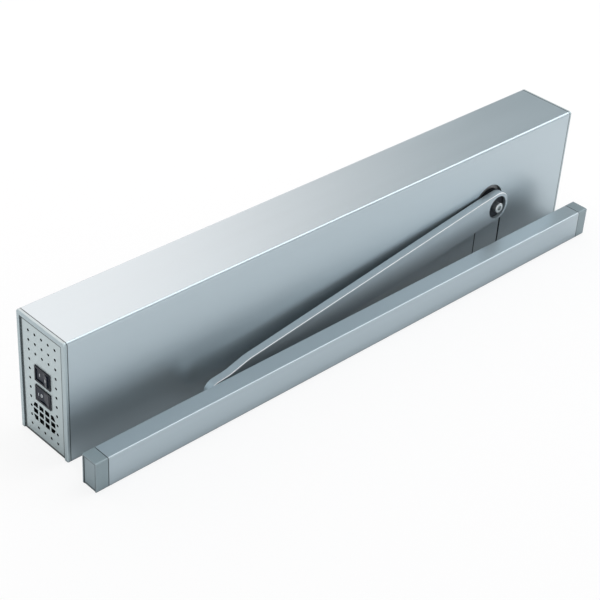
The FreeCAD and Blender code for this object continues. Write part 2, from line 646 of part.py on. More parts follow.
def case_cavity(x_range, y_range):
    """The hollow inside a housing block."""
    inner_x = (x_range[0] + CASE_WALL, x_range[1] - CASE_WALL)
    inner_z = (MOUNT_THICKNESS + CASE_WALL, CASE_TOP_Z - CASE_WALL)
    solid = block(inner_x, y_range, inner_z)
    return fillet(solid, CASE_RADIUS - CASE_WALL, lambda edge: runs_along(edge, 1))


def gear_block_x():
    """The length of the housing that holds the gears."""
    return (CASE_LEFT_X, CASE_RIGHT_X)


def cam_block_x():
    """The length of the housing that holds the cam."""
    return (CASE_LEFT_X, CAM_CASE_RIGHT_X)


def case_screw_places(x_range):
    """Screw places near the corners of a housing cover."""
    columns = (x_range[0] + CASE_SCREW_INSET, x_range[1] - CASE_SCREW_INSET)
    rows = (MOUNT_THICKNESS + CASE_SCREW_INSET, CASE_TOP_Z - CASE_SCREW_INSET)
    return [(x, z) for x in columns for z in rows]


def foot_places():
    """The middles of the two mounting feet on the left of the housing."""
    x = CASE_LEFT_X - FOOT_LENGTH / 2
    return [(x, LOWER_CASE_LOW_Y + FOOT_WIDTH / 2), (x, UPPER_CASE_HIGH_Y - FOOT_WIDTH / 2)]


def foot(x, y):
    """A mounting foot, carried on under the rounded corner of the housing."""
    x_range = (x - FOOT_LENGTH / 2, CASE_LEFT_X + CASE_RADIUS)
    y_range = (y - FOOT_WIDTH / 2, y + FOOT_WIDTH / 2)
    return block(x_range, y_range, (MOUNT_THICKNESS, MOUNT_THICKNESS + FOOT_HEIGHT))


def gearbox_body():
    """The casting that holds the gears, the cam and the guide of the spring carriage."""
    gears = case_block(gear_block_x(), (LOWER_CASE_LOW_Y, WEB_HIGH_Y))
    cams = case_block(cam_block_x(), (WEB_LOW_Y, UPPER_CASE_HIGH_Y))
    guide_radius = TUBE_INNER_RADIUS - TUBE_FIT
    guide = rod_x(guide_radius, (GUIDE_LEFT_X, CASE_LEFT_X), SPRING_Y, SPINDLE_Z)
    feet = [foot(x, y) for x, y in foot_places()]
    body = fuse([gears, cams, guide] + feet)
    tools = [case_cavity(gear_block_x(), (LOWER_CASE_LOW_Y - 1, WEB_LOW_Y))]
    tools.append(case_cavity(cam_block_x(), (WEB_HIGH_Y, UPPER_CASE_HIGH_Y + 1)))
    tools.append(rod_y(WEB_HOLE_RADIUS, SPINDLE_X, (WEB_LOW_Y - 1, WEB_HIGH_Y + 1), SPINDLE_Z))
    bush_hole = LAY_SHAFT_RADIUS + FIT + BUSH_WALL
    tools.append(rod_y(bush_hole, LAY_SHAFT_X, (WEB_LOW_Y - 1, WEB_HIGH_Y + 1), SPINDLE_Z))
    tools.append(rod_y(MOTOR_BOSS_RADIUS, MOTOR_X, (WEB_LOW_Y - 1, WEB_HIGH_Y + 1), SPINDLE_Z))
    half_y = CARRIAGE_WIDTH / 2 + GUIDE_CLEARANCE
    half_z = CARRIAGE_HEIGHT / 2 + GUIDE_CLEARANCE
    slide_x = (GUIDE_LEFT_X - 1, CASE_LEFT_X + CASE_WALL + 1)
    slide_y = (SPRING_Y - half_y, SPRING_Y + half_y)
    tools.append(block(slide_x, slide_y, (SPINDLE_Z - half_z, SPINDLE_Z + half_z)))
    for x, y in foot_places():
        tools.append(rod_z(FOOT_SCREW_RADIUS, x, y, (0, MOUNT_THICKNESS + FOOT_HEIGHT + 1)))
    return body.cut(tools)


def case_cover(x_range, y_range, outer_y):
    """A housing cover with its bearing seat and the holes for its screws."""
    plate = case_block(x_range, y_range)
    seat = rod_y(BEARING_RADIUS, SPINDLE_X, (y_range[0] - 1, y_range[1] + 1), SPINDLE_Z)
    tools = [seat]
    for x, z in case_screw_places(x_range):
        head = sorted((outer_y, outer_y - math.copysign(CASE_SCREW_HEAD_HEIGHT + 1, outer_y)))
        tools.append(rod_y(CASE_SCREW_RADIUS, x, (y_range[0] - 1, y_range[1] + 1), z))
        tools.append(rod_y(CASE_SCREW_HEAD_RADIUS, x, head, z))
    return plate.cut(tools)


def gear_cover():
    """The cover over the gears, on the arm's side."""
    plate = case_cover(gear_block_x(), (-CASE_HALF_Y, LOWER_CASE_LOW_Y), -CASE_HALF_Y)
    bush_hole = LAY_SHAFT_RADIUS + FIT + BUSH_WALL
    seat = rod_y(bush_hole, LAY_SHAFT_X, (LOWER_CASE_LOW_Y - BUSH_LENGTH, LOWER_CASE_LOW_Y + 1), SPINDLE_Z)
    return plate.cut(seat)


def cam_cover():
    """The cover over the cam, on the far side from the arm."""
    return case_cover(cam_block_x(), (UPPER_CASE_HIGH_Y, CASE_HALF_Y), CASE_HALF_Y)


def case_screws():
    """The flat-headed screws of both housing covers."""
    screws = []
    for x_range, outer_y in ((gear_block_x(), -CASE_HALF_Y), (cam_block_x(), CASE_HALF_Y)):
        inward = -math.copysign(1, outer_y)
        head_top = outer_y + inward
        head_low = head_top + inward * CASE_SCREW_HEAD_HEIGHT
        tip = outer_y + inward * CASE_COVER_THICKNESS
        for x, z in case_screw_places(x_range):
            head = rod_y(CASE_SCREW_HEAD_RADIUS, x, sorted((head_top, head_low)), z)
            shank = rod_y(CASE_SCREW_RADIUS, x, sorted((head_low, tip)), z)
            socket_y = sorted((head_top + inward * CASE_SCREW_HEAD_HEIGHT * 0.7, head_top - inward))
            socket = hex_y(CASE_SCREW_RADIUS * 1.2, x, socket_y, z)
            screws.append(fuse([head, shank]).cut(socket))
    return group(screws)


def foot_screws():
    """The socket-head screws that hold the drive to the mounting plate."""
    top = MOUNT_THICKNESS + FOOT_HEIGHT
    screws = []
    for x, y in foot_places():
        head = rod_z(FOOT_SCREW_HEAD_RADIUS, x, y, (top, top + FOOT_SCREW_HEAD_HEIGHT))
        shank = rod_z(FOOT_SCREW_RADIUS, x, y, (MOUNT_THICKNESS, top))
        socket_z = (top + FOOT_SCREW_HEAD_HEIGHT / 2, top + FOOT_SCREW_HEAD_HEIGHT + 1)
        socket = rod_z(FOOT_SCREW_RADIUS * 0.8, x, y, socket_z)
        screws.append(fuse([head, shank]).cut(socket))
    return group(screws)


def spindle_bearings():
    """The two bearings that carry the spindle."""
    bore = rod_y(SPINDLE_RADIUS + FIT, SPINDLE_X, (-HALF_WIDTH, HALF_WIDTH), SPINDLE_Z)
    rings = []
    for low in (-CASE_HALF_Y, CASE_HALF_Y - BEARING_WIDTH):
        ring = rod_y(BEARING_RADIUS, SPINDLE_X, (low, low + BEARING_WIDTH), SPINDLE_Z)
        rings.append(ring.cut(bore))
    return group(rings)


def lay_shaft_bushes():
    """The two bushes that carry the lay shaft."""
    bushes = []
    for y_range in ((LOWER_CASE_LOW_Y - BUSH_LENGTH, LOWER_CASE_LOW_Y), (WEB_LOW_Y, WEB_HIGH_Y)):
        bush = rod_y(LAY_SHAFT_RADIUS + FIT + BUSH_WALL, LAY_SHAFT_X, y_range, SPINDLE_Z)
        bore = rod_y(LAY_SHAFT_RADIUS + FIT, LAY_SHAFT_X, (y_range[0] - 1, y_range[1] + 1), SPINDLE_Z)
        bushes.append(bush.cut(bore))
    return group(bushes)


# Gears

def involute(radius, base):
    """The involute function of the pressure angle that a radius has on its base circle."""
    angle = math.acos(base / radius)
    return math.tan(angle) - angle


def gear_face(teeth, module, shift, x, y, z, first_tooth):
    """A gear's outline: involute flanks as arcs, with flat tips and roots between them."""
    pitch_radius = teeth * module / 2
    base = pitch_radius * math.cos(PRESSURE_ANGLE)
    tip = pitch_radius + module * (1 + shift)
    root = pitch_radius - module * (1.25 - shift)
    start = max(base, root) + 1e-4
    half = (math.pi / 2 + 2 * shift * math.tan(PRESSURE_ANGLE) - 2 * FLANK_BACKLASH) / teeth
    half += involute(pitch_radius, base)
    step = 2 * math.pi / teeth

    def at(radius, angle):
        return Vector(x + radius * math.cos(angle), y, z + radius * math.sin(angle))

    edges = []
    for tooth in range(teeth):
        centre = first_tooth + tooth * step
        radii = (start, (start + tip) / 2, tip)
        up = [at(radius, centre - half + involute(radius, base)) for radius in radii]
        down = [at(radius, centre + half - involute(radius, base)) for radius in reversed(radii)]
        foot = half - involute(start, base)
        edges.append(Part.Arc(up[0], up[1], up[2]).toShape())
        edges.append(Part.LineSegment(up[2], down[0]).toShape())
        edges.append(Part.Arc(down[0], down[1], down[2]).toShape())
        valley_start = down[2]
        valley_end = at(start, centre + step - foot)
        if start - root > 0.01:
            low_start = at(root, centre + foot)
            low_end = at(root, centre + step - foot)
            edges.append(Part.LineSegment(valley_start, low_start).toShape())
            edges.append(Part.LineSegment(low_start, low_end).toShape())
            edges.append(Part.LineSegment(low_end, valley_end).toShape())
        else:
            edges.append(Part.LineSegment(valley_start, valley_end).toShape())
    return Part.Face(Part.Wire(edges))


def gear(teeth, module, shift, x, y_range, first_tooth, bore):
    """A spur gear on an axis along Y."""
    face = gear_face(teeth, module, shift, x, y_range[0], SPINDLE_Z, first_tooth)
    solid = face.extrude(Vector(0, y_range[1] - y_range[0], 0))
    return solid.cut(rod_y(bore, x, (y_range[0] - 1, y_range[1] + 1), SPINDLE_Z))


def output_gear():
    """The large gear on the spindle, lightened by a ring of holes."""
    y_range = (OUTPUT_GEAR_LOW_Y, OUTPUT_GEAR_LOW_Y + OUTPUT_GEAR_WIDTH)
    wheel = gear(WHEEL_TEETH, SECOND_MODULE, -PROFILE_SHIFT, SPINDLE_X, y_range, 0, SPINDLE_RADIUS)
    holes = []
    for count in range(LIGHTENING_HOLES):
        angle = 2 * math.pi * (count + 0.5) / LIGHTENING_HOLES
        x = SPINDLE_X + LIGHTENING_CIRCLE * math.cos(angle)
        z = SPINDLE_Z + LIGHTENING_CIRCLE * math.sin(angle)
        holes.append(rod_y(LIGHTENING_RADIUS, x, (y_range[0] - 1, y_range[1] + 1), z))
    return wheel.cut(holes)


def middle_gear():
    """The large gear of the lay shaft, driven by the motor."""
    y_range = (MIDDLE_GEAR_LOW_Y, MIDDLE_GEAR_LOW_Y + MIDDLE_GEAR_WIDTH)
    return gear(WHEEL_TEETH, FIRST_MODULE, -PROFILE_SHIFT, LAY_SHAFT_X, y_range, 0, LAY_SHAFT_RADIUS)


def pinion(module, x, y_range, bore):
    """A pinion turned by half a tooth, which puts a gap where its wheel has a tooth."""
    return gear(PINION_TEETH, module, PROFILE_SHIFT, x, y_range, math.pi / PINION_TEETH, bore)


def lay_shaft_pinion():
    """The pinion of the lay shaft, in mesh with the output gear."""
    y_range = (OUTPUT_GEAR_LOW_Y - PINION_OVERHANG, MIDDLE_GEAR_LOW_Y)
    return pinion(SECOND_MODULE, LAY_SHAFT_X, y_range, LAY_SHAFT_RADIUS)


def motor_pinion():
    """The pinion on the motor shaft, in mesh with the lay shaft's gear."""
    y_range = (MIDDLE_GEAR_LOW_Y - PINION_OVERHANG, MIDDLE_GEAR_LOW_Y + MIDDLE_GEAR_WIDTH)
    return pinion(FIRST_MODULE, MOTOR_X, y_range, MOTOR_SHAFT_RADIUS)


def lay_shaft():
    """The shaft between the two gear stages."""
    y_range = (LOWER_CASE_LOW_Y - BUSH_LENGTH + RUNNING_GAP, WEB_HIGH_Y)
    return rod_y(LAY_SHAFT_RADIUS, LAY_SHAFT_X, y_range, SPINDLE_Z)


# Motor

def motor_housing():
    """The motor's can with its front boss in the casting and cooling ribs round it."""
    y_range = (WEB_HIGH_Y, WEB_HIGH_Y + MOTOR_LENGTH)
    can = rod_y(MOTOR_RADIUS, MOTOR_X, y_range, SPINDLE_Z)
    boss = rod_y(MOTOR_BOSS_RADIUS, MOTOR_X, (WEB_LOW_Y, WEB_HIGH_Y), SPINDLE_Z)
    ribs = []
    for count in range(MOTOR_RIB_COUNT):
        rib_x = (MOTOR_X - MOTOR_RIB_WIDTH / 2, MOTOR_X + MOTOR_RIB_WIDTH / 2)
        rib_z = (SPINDLE_Z + MOTOR_RADIUS - 1, SPINDLE_Z + MOTOR_RADIUS + MOTOR_RIB_HEIGHT)
        rib = block(rib_x, (y_range[0] + MOTOR_WALL, y_range[1] - MOTOR_WALL), rib_z)
        turn = 360.0 * (count + 0.5) / MOTOR_RIB_COUNT
        rib.rotate(Vector(MOTOR_X, 0, SPINDLE_Z), Vector(0, 1, 0), turn)
        ribs.append(rib)
    body = fuse([can, boss] + ribs)
    hollow_y = (y_range[0] + MOTOR_WALL, y_range[1] - MOTOR_WALL)
    hollow = rod_y(MOTOR_RADIUS - MOTOR_WALL, MOTOR_X, hollow_y, SPINDLE_Z)
    bore = rod_y(MOTOR_SHAFT_RADIUS + FIT, MOTOR_X, (WEB_LOW_Y - 1, y_range[1] + 1), SPINDLE_Z)
    return body.cut(hollow).cut(bore)


def motor_end_cap():
    """The encoder cap on the back of the motor."""
    low = WEB_HIGH_Y + MOTOR_LENGTH
    cap = rod_y(MOTOR_CAP_RADIUS, MOTOR_X, (low, low + MOTOR_CAP_THICKNESS), SPINDLE_Z)
    hollow_y = (low - 1, low + MOTOR_CAP_THICKNESS - MOTOR_WALL)
    return cap.cut(rod_y(MOTOR_CAP_RADIUS - MOTOR_WALL, MOTOR_X, hollow_y, SPINDLE_Z))


def motor_shaft():
    """The motor's shaft."""
    high = WEB_HIGH_Y + MOTOR_LENGTH
    return rod_y(MOTOR_SHAFT_RADIUS, MOTOR_X, (MIDDLE_GEAR_LOW_Y - PINION_OVERHANG, high), SPINDLE_Z)


def motor_rotor():
    """The magnet rotor inside the motor."""
    low = WEB_HIGH_Y + MOTOR_WALL + ROTOR_GAP
    rotor = rod_y(ROTOR_RADIUS, MOTOR_X, (low, low + ROTOR_LENGTH), SPINDLE_Z)
    return rotor.cut(rod_y(MOTOR_SHAFT_RADIUS, MOTOR_X, (low - 1, low + ROTOR_LENGTH + 1), SPINDLE_Z))


# Cam, carriage and spring

def cam_contact(turn):
    """A point of the cam's face: the roller's track, less the roller and its running gap."""
    radius = CAM_START_RADIUS + CAM_RISE * turn
    outward = (-math.cos(turn), -math.sin(turn))
    sideways = (math.sin(turn), -math.cos(turn))
    length = math.hypot(radius, CAM_RISE)
    offset = ROLLER_RADIUS + RUNNING_GAP
    x = radius * outward[0] - offset * (radius * outward[0] - CAM_RISE * sideways[0]) / length
    z = radius * outward[1] - offset * (radius * outward[1] - CAM_RISE * sideways[1]) / length
    return Vector(SPINDLE_X + x, cam_low_y(), SPINDLE_Z + z)


def cam_low_y():
    """The cam's lower face."""
    return SPRING_Y - CAM_THICKNESS / 2


def cam_disc():
    """The cam: a rising spiral that pushes the roller evenly, on a round hub."""
    first = -CAM_LEAD
    last = ARM_SWING + CAM_LEAD
    turns = [first + (last - first) * step / (CAM_POINTS - 1) for step in range(CAM_POINTS)]
    points = [cam_contact(turn) for turn in turns]
    spiral = Part.BSplineCurve()
    spiral.interpolate(points)
    centre = Vector(SPINDLE_X, cam_low_y(), SPINDLE_Z)
    peak = points[-1] - centre
    reach = peak.Length
    fall = math.acos(CAM_DISC_RADIUS / reach)
    heading = math.atan2(peak.z, peak.x) + fall
    foot = centre + Vector(CAM_DISC_RADIUS * math.cos(heading), 0, CAM_DISC_RADIUS * math.sin(heading))
    edges = [spiral.toShape()]
    edges.append(Part.LineSegment(points[-1], foot).toShape())
    edges.append(Part.LineSegment(foot, centre).toShape())
    edges.append(Part.LineSegment(centre, points[0]).toShape())
    lobe = Part.Face(Part.Wire(edges)).extrude(Vector(0, CAM_THICKNESS, 0))
    disc_y = (cam_low_y(), cam_low_y() + CAM_THICKNESS)
    disc = rod_y(CAM_DISC_RADIUS, SPINDLE_X, disc_y, SPINDLE_Z)
    hub = rod_y(CAM_HUB_RADIUS, SPINDLE_X, (WEB_HIGH_Y + 1, disc_y[1]), SPINDLE_Z)
    bore = rod_y(SPINDLE_RADIUS, SPINDLE_X, (WEB_LOW_Y, disc_y[1] + 1), SPINDLE_Z)
    return fuse([lobe, disc, hub]).cut(bore)


def spring_carriage():
    """The fork that holds the cam roller, with the spring seat and push rod behind it."""
    half_y = CARRIAGE_WIDTH / 2
    half_z = CARRIAGE_HEIGHT / 2
    body_x = (CARRIAGE_BACK_X, ROLLER_X + CARRIAGE_REACH)
    body = block(body_x, (SPRING_Y - half_y, SPRING_Y + half_y), (SPINDLE_Z - half_z, SPINDLE_Z + half_z))
    seat_radius = TUBE_INNER_RADIUS - SEAT_CLEARANCE
    seat = rod_x(seat_radius, (CARRIAGE_BACK_X - SEAT_THICKNESS, CARRIAGE_BACK_X), SPRING_Y, SPINDLE_Z)
    push_x = (CARRIAGE_BACK_X - PUSH_ROD_LENGTH, CARRIAGE_BACK_X)
    push = rod_x(PUSH_ROD_RADIUS, push_x, SPRING_Y, SPINDLE_Z)
    slot_half = CARRIAGE_SLOT / 2
    slot_x = (ROLLER_X - ROLLER_RADIUS - 1, body_x[1] + 1)
    slot_z = (SPINDLE_Z - half_z - 1, SPINDLE_Z + half_z + 1)
    slot = block(slot_x, (SPRING_Y - slot_half, SPRING_Y + slot_half), slot_z)
    pin_hole = rod_y(ROLLER_PIN_RADIUS, ROLLER_X, (SPRING_Y - half_y - 1, SPRING_Y + half_y + 1), SPINDLE_Z)
    return fuse([body, seat, push]).cut(slot).cut(pin_hole)


def cam_roller():
    """The roller that runs on the cam."""
    y_range = (SPRING_Y - ROLLER_WIDTH / 2, SPRING_Y + ROLLER_WIDTH / 2)
    roller = rod_y(ROLLER_RADIUS, ROLLER_X, y_range, SPINDLE_Z)
    bore = rod_y(ROLLER_PIN_RADIUS + FIT, ROLLER_X, (y_range[0] - 1, y_range[1] + 1), SPINDLE_Z)
    return roller.cut(bore)


def roller_pin():
    """The pin of the cam roller."""
    half = CARRIAGE_WIDTH / 2
    return rod_y(ROLLER_PIN_RADIUS, ROLLER_X, (SPRING_Y - half, SPRING_Y + half), SPINDLE_Z)


def closer_spring():
    """The closing spring: square wire wound in a helix between the abutment and the carriage."""
    half = SPRING_WIRE / 2
    low = ABUTMENT_X + half
    length = CARRIAGE_BACK_X - SEAT_THICKNESS - half - low
    helix = Part.makeHelix(length / SPRING_TURNS, length, SPRING_RADIUS)
    signs = ((-1, -1), (1, -1), (1, 1), (-1, 1), (-1, -1))
    section = Part.makePolygon([Vector(SPRING_RADIUS + x * half, 0, z * half) for x, z in signs])
    spring = Part.Wire(helix.Edges).makePipeShell([section], True, True)
    spring.rotate(Vector(0, 0, 0), Vector(0, 1, 0), 90)
    spring.translate(Vector(low, SPRING_Y, SPINDLE_Z))
    return spring


def spring_tube():
    """The tube round the spring, with a window that shows its tension."""
    x_range = (TUBE_LEFT_X, CASE_LEFT_X)
    tube = rod_x(TUBE_OUTER_RADIUS, x_range, SPRING_Y, SPINDLE_Z)
    bore = rod_x(TUBE_INNER_RADIUS, (x_range[0] - 1, x_range[1] + 1), SPRING_Y, SPINDLE_Z)
    middle_x = (x_range[0] + x_range[1]) / 2
    half = TUBE_WINDOW_LENGTH / 2
    window_y = (SPRING_Y - TUBE_WINDOW_WIDTH / 2, SPRING_Y + TUBE_WINDOW_WIDTH / 2)
    window_z = (SPINDLE_Z, SPINDLE_Z + TUBE_OUTER_RADIUS + 1)
    return tube.cut(bore).cut(block((middle_x - half, middle_x + half), window_y, window_z))


def tube_saddles():
    """The two saddles that carry the spring tube on the mounting plate."""
    saddles = []
    for x in SADDLE_PLACES:
        x_range = (x - SADDLE_LENGTH / 2, x + SADDLE_LENGTH / 2)
        y_range = (SPRING_Y - SADDLE_WIDTH / 2, SPRING_Y + SADDLE_WIDTH / 2)
        saddle = block(x_range, y_range, (MOUNT_THICKNESS, SPINDLE_Z - TUBE_OUTER_RADIUS / 2))
        past = (x_range[0] - 1, x_range[1] + 1)
        saddles.append(saddle.cut(rod_x(TUBE_OUTER_RADIUS, past, SPRING_Y, SPINDLE_Z)))
    return group(saddles)


def tube_end_disc():
    """The disc that closes the spring tube and carries the adjusting screw."""
    x_range = (TUBE_LEFT_X - END_DISC_THICKNESS, TUBE_LEFT_X)
    disc = rod_x(TUBE_OUTER_RADIUS, x_range, SPRING_Y, SPINDLE_Z)
    plug_x = (TUBE_LEFT_X, TUBE_LEFT_X + END_DISC_THICKNESS)
    plug = rod_x(TUBE_INNER_RADIUS - TUBE_FIT, plug_x, SPRING_Y, SPINDLE_Z)
    hole = rod_x(ADJUSTER_RADIUS, (x_range[0] - 1, plug_x[1] + 1), SPRING_Y, SPINDLE_Z)
    return fuse([disc, plug]).cut(hole)


def spring_abutment():
    """The threaded disc that the spring rests against."""
    x_range = (ABUTMENT_X - ABUTMENT_LENGTH, ABUTMENT_X)
    disc = rod_x(TUBE_INNER_RADIUS - TUBE_FIT, x_range, SPRING_Y, SPINDLE_Z)
    return disc.cut(rod_x(ADJUSTER_RADIUS, (x_range[0] - 1, x_range[1] + 1), SPRING_Y, SPINDLE_Z))


def adjuster_screw():
    """The screw that moves the abutment."""
    head_high = TUBE_LEFT_X - END_DISC_THICKNESS
    shank = rod_x(ADJUSTER_RADIUS, (head_high, ABUTMENT_X + ADJUSTER_REACH), SPRING_Y, SPINDLE_Z)
    head = hex_x(ADJUSTER_HEAD_FLATS, (ADJUSTER_HEAD_X, head_high), SPRING_Y, SPINDLE_Z)
    return fuse([head, shank])


# Control unit and power supply

def board_box():
    """The circuit board's corners as ranges along X, Y and Z."""
    x_range = (TRAY_LEFT_X + BOARD_MARGIN, TRAY_LEFT_X + TRAY_LENGTH - BOARD_MARGIN)
    half = UNIT_HALF_WIDTH - BOARD_MARGIN
    low = MOUNT_THICKNESS + TRAY_HEIGHT
    return x_range, (-half, half), (low, low + BOARD_THICKNESS)


def control_tray():
    """The open plastic tray of the control unit, with posts under the board."""
    x_range = (TRAY_LEFT_X, TRAY_LEFT_X + TRAY_LENGTH)
    half = UNIT_HALF_WIDTH
    low = MOUNT_THICKNESS
    tray = block(x_range, (-half, half), (low, low + TRAY_HEIGHT - BOARD_THICKNESS))
    inner_x = (x_range[0] + TRAY_WALL, x_range[1] - TRAY_WALL)
    inner = block(inner_x, (-half + TRAY_WALL, half - TRAY_WALL), (low + TRAY_WALL, low + TRAY_HEIGHT + 1))
    posts = []
    for x in (x_range[0] + POST_INSET, x_range[1] - POST_INSET):
        for y in (-half + POST_INSET, half - POST_INSET):
            posts.append(rod_z(POST_RADIUS, x, y, (low, low + TRAY_HEIGHT)))
    return fuse([tray.cut(inner)] + posts)


def control_board():
    """The control unit's circuit board."""
    x_range, y_range, z_range = board_box()
    return block(x_range, y_range, z_range)


def terminal_blocks():
    """The terminal strips along one edge of the board, with their wire openings."""
    x_range, y_range, z_range = board_box()
    length, depth, height = TERMINAL_SIZE
    strips = []
    for count in range(TERMINAL_COUNT):
        x = x_range[0] + BOARD_MARGIN + count * TERMINAL_STEP
        strip = block((x, x + length), (y_range[0], y_range[0] + depth), (z_range[1], z_range[1] + height))
        pole = length / TERMINAL_POLES
        openings = []
        for number in range(TERMINAL_POLES):
            middle_x = x + pole * (number + 0.5)
            span = (middle_x - pole * 0.3, middle_x + pole * 0.3)
            openings.append(block(span, (y_range[0] - 1, y_range[0] + depth / 2),
                                  (z_range[1] + height * 0.2, z_range[1] + height * 0.6)))
        strips.append(strip.cut(openings))
    return group(strips)


def board_components():
    """The capacitors and the relay on the board."""
    x_range, y_range, z_range = board_box()
    pieces = []
    for count in range(CAPACITOR_COUNT):
        x = x_range[0] + CAPACITOR_STEP / 2 + BOARD_MARGIN + count * CAPACITOR_STEP
        y = y_range[1] - CAPACITOR_RADIUS - BOARD_MARGIN
        can = rod_z(CAPACITOR_RADIUS, x, y, (z_range[1], z_range[1] + CAPACITOR_HEIGHT))
        rim = [edge for edge in can.Edges if edge.Closed and middle(edge).z > z_range[1] + 1]
        pieces.append(can.makeChamfer(CAPACITOR_CHAMFER, rim))
    length, depth, height = RELAY_SIZE
    x = x_range[1] - BOARD_MARGIN - length
    y = y_range[1] - BOARD_MARGIN - depth
    pieces.append(block((x, x + length), (y, y + depth), (z_range[1], z_range[1] + height)))
    return group(pieces)


def power_supply_case():
    """The folded sheet case of the power supply, with a row of cooling slots in its sides."""
    x_range = (SUPPLY_LEFT_X, SUPPLY_RIGHT_X)
    half = UNIT_HALF_WIDTH
    z_range = (MOUNT_THICKNESS, MOUNT_THICKNESS + SUPPLY_HEIGHT)
    case = block(x_range, (-half, half), z_range)
    inner_z = (z_range[0] + SUPPLY_WALL, z_range[1] - SUPPLY_WALL)
    inner = block((x_range[0] + SUPPLY_WALL, x_range[1] - SUPPLY_WALL),
                  (-half + SUPPLY_WALL, half - SUPPLY_WALL), inner_z)
    slots = [inner]
    middle_x = (x_range[0] + x_range[1]) / 2
    middle_z = (z_range[0] + z_range[1]) / 2
    slot_count = int((x_range[1] - x_range[0]) / SUPPLY_SLOT_STEP) - 1
    for count in range(slot_count):
        x = middle_x + (count - (slot_count - 1) / 2) * SUPPLY_SLOT_STEP
        slot_x = (x - SUPPLY_SLOT_WIDTH / 2, x + SUPPLY_SLOT_WIDTH / 2)
        slot_z = (middle_z - SUPPLY_SLOT_HEIGHT / 2, middle_z + SUPPLY_SLOT_HEIGHT / 2)
        slots.append(block(slot_x, (-half - 1, half + 1), slot_z))
    return case.cut(slots)


# Spindle and arm

def hub_low_y():
    """The hub's face towards the drive housing."""
    return -CASE_HALF_Y - HUB_CASE_GAP


def washer_top_y():
    """The outer face of the washer in the arm's eye."""
    return ARM_BACK_Y - ARM_EYE_FLOOR - WASHER_THICKNESS


def spindle():
    """The output spindle, from bearing to bearing, with its end in the hub."""
    shaft = rod_y(SPINDLE_RADIUS, SPINDLE_X, (hub_low_y(), CASE_HALF_Y), SPINDLE_Z)
    nose = rod_y(HUB_BORE_RADIUS, SPINDLE_X, (hub_low_y() - HUB_BORE_DEPTH, hub_low_y()), SPINDLE_Z)
    screw_y = (washer_top_y(), washer_top_y() + ARM_SCREW_LENGTH)
    thread = rod_y(ARM_SCREW_RADIUS, SPINDLE_X, screw_y, SPINDLE_Z)
    return fuse([shaft, nose]).cut(thread)


def square_y(side, y_range):
    """A square bar on the spindle's axis."""
    half = side / 2
    return block((SPINDLE_X - half, SPINDLE_X + half), y_range, (SPINDLE_Z - half, SPINDLE_Z + half))


def spindle_hub():
    """The dark collar between housing and arm, with the square that turns the arm."""
    collar = rod_y(HUB_RADIUS, SPINDLE_X, (ARM_BACK_Y, hub_low_y()), SPINDLE_Z)
    square = square_y(HUB_SQUARE, (ARM_BACK_Y - ARM_EYE_FLOOR, ARM_BACK_Y))
    bore = rod_y(HUB_BORE_RADIUS, SPINDLE_X, (hub_low_y() - HUB_BORE_DEPTH, hub_low_y() + 1), SPINDLE_Z)
    thread = rod_y(ARM_SCREW_RADIUS, SPINDLE_X, (ARM_FRONT_Y, hub_low_y()), SPINDLE_Z)
    return lean(fuse([collar, square]).cut(bore).cut(thread))


def lean(shape):
    """Turn a piece about the spindle, from level to the arm's angle at rest."""
    shape.rotate(Vector(SPINDLE_X, 0, SPINDLE_Z), Vector(0, 1, 0), -math.degrees(ARM_REST_ANGLE))
    return shape


def arm_outline():
    """The arm seen along the spindle, level: two round ends joined by their common tangents."""
    far = SPINDLE_X - ARM_CENTRES
    y = ARM_BACK_Y
    taper = math.asin((ARM_HALF_WIDTH - ARM_END_HALF_WIDTH) / ARM_CENTRES)

    def tangent(x, radius, side):
        return Vector(x - radius * math.sin(taper), y, SPINDLE_Z + side * radius * math.cos(taper))

    near_low = tangent(SPINDLE_X, ARM_HALF_WIDTH, -1)
    near_high = tangent(SPINDLE_X, ARM_HALF_WIDTH, 1)
    far_low = tangent(far, ARM_END_HALF_WIDTH, -1)
    far_high = tangent(far, ARM_END_HALF_WIDTH, 1)
    near_end = Vector(SPINDLE_X + ARM_HALF_WIDTH, y, SPINDLE_Z)
    far_end = Vector(far - ARM_END_HALF_WIDTH, y, SPINDLE_Z)
    edges = [Part.Arc(near_low, near_end, near_high).toShape()]
    edges.append(Part.LineSegment(near_high, far_high).toShape())
    edges.append(Part.Arc(far_high, far_end, far_low).toShape())
    edges.append(Part.LineSegment(far_low, near_low).toShape())
    return Part.Face(Part.Wire(edges))


def arm_side():
    """The arm seen from above, level: a bar of one thickness, bent in three places between its flats."""
    near = SPINDLE_X - ARM_FLAT_AT_SPINDLE
    far = SPINDLE_X - ARM_CENTRES + ARM_FLAT_AT_SLIDER
    crank = far + ARM_CRANK_LENGTH
    right = SPINDLE_X + ARM_HALF_WIDTH + 1
    left = SPINDLE_X - ARM_CENTRES - ARM_HALF_WIDTH - 1
    z = SPINDLE_Z - ARM_HALF_WIDTH - 1
    back = [(right, ARM_BACK_Y), (near, ARM_BACK_Y), (crank, ARM_CRANK_BACK_Y), (far, ARM_FAR_BACK_Y),
            (left, ARM_FAR_BACK_Y)]
    front = [(x, y - ARM_THICKNESS) for x, y in reversed(back)]
    outline = [Vector(x, y, z) for x, y in back + front]
    face = Part.Face(Part.makePolygon(outline + outline[:1]))
    bar = face.extrude(Vector(0, 0, 2 * ARM_HALF_WIDTH + 2))
    bends = (near, crank, far)
    return fillet(bar, ARM_BEND_RADIUS, lambda edge: any(abs(middle(edge).x - x) < 1e-3 for x in bends))


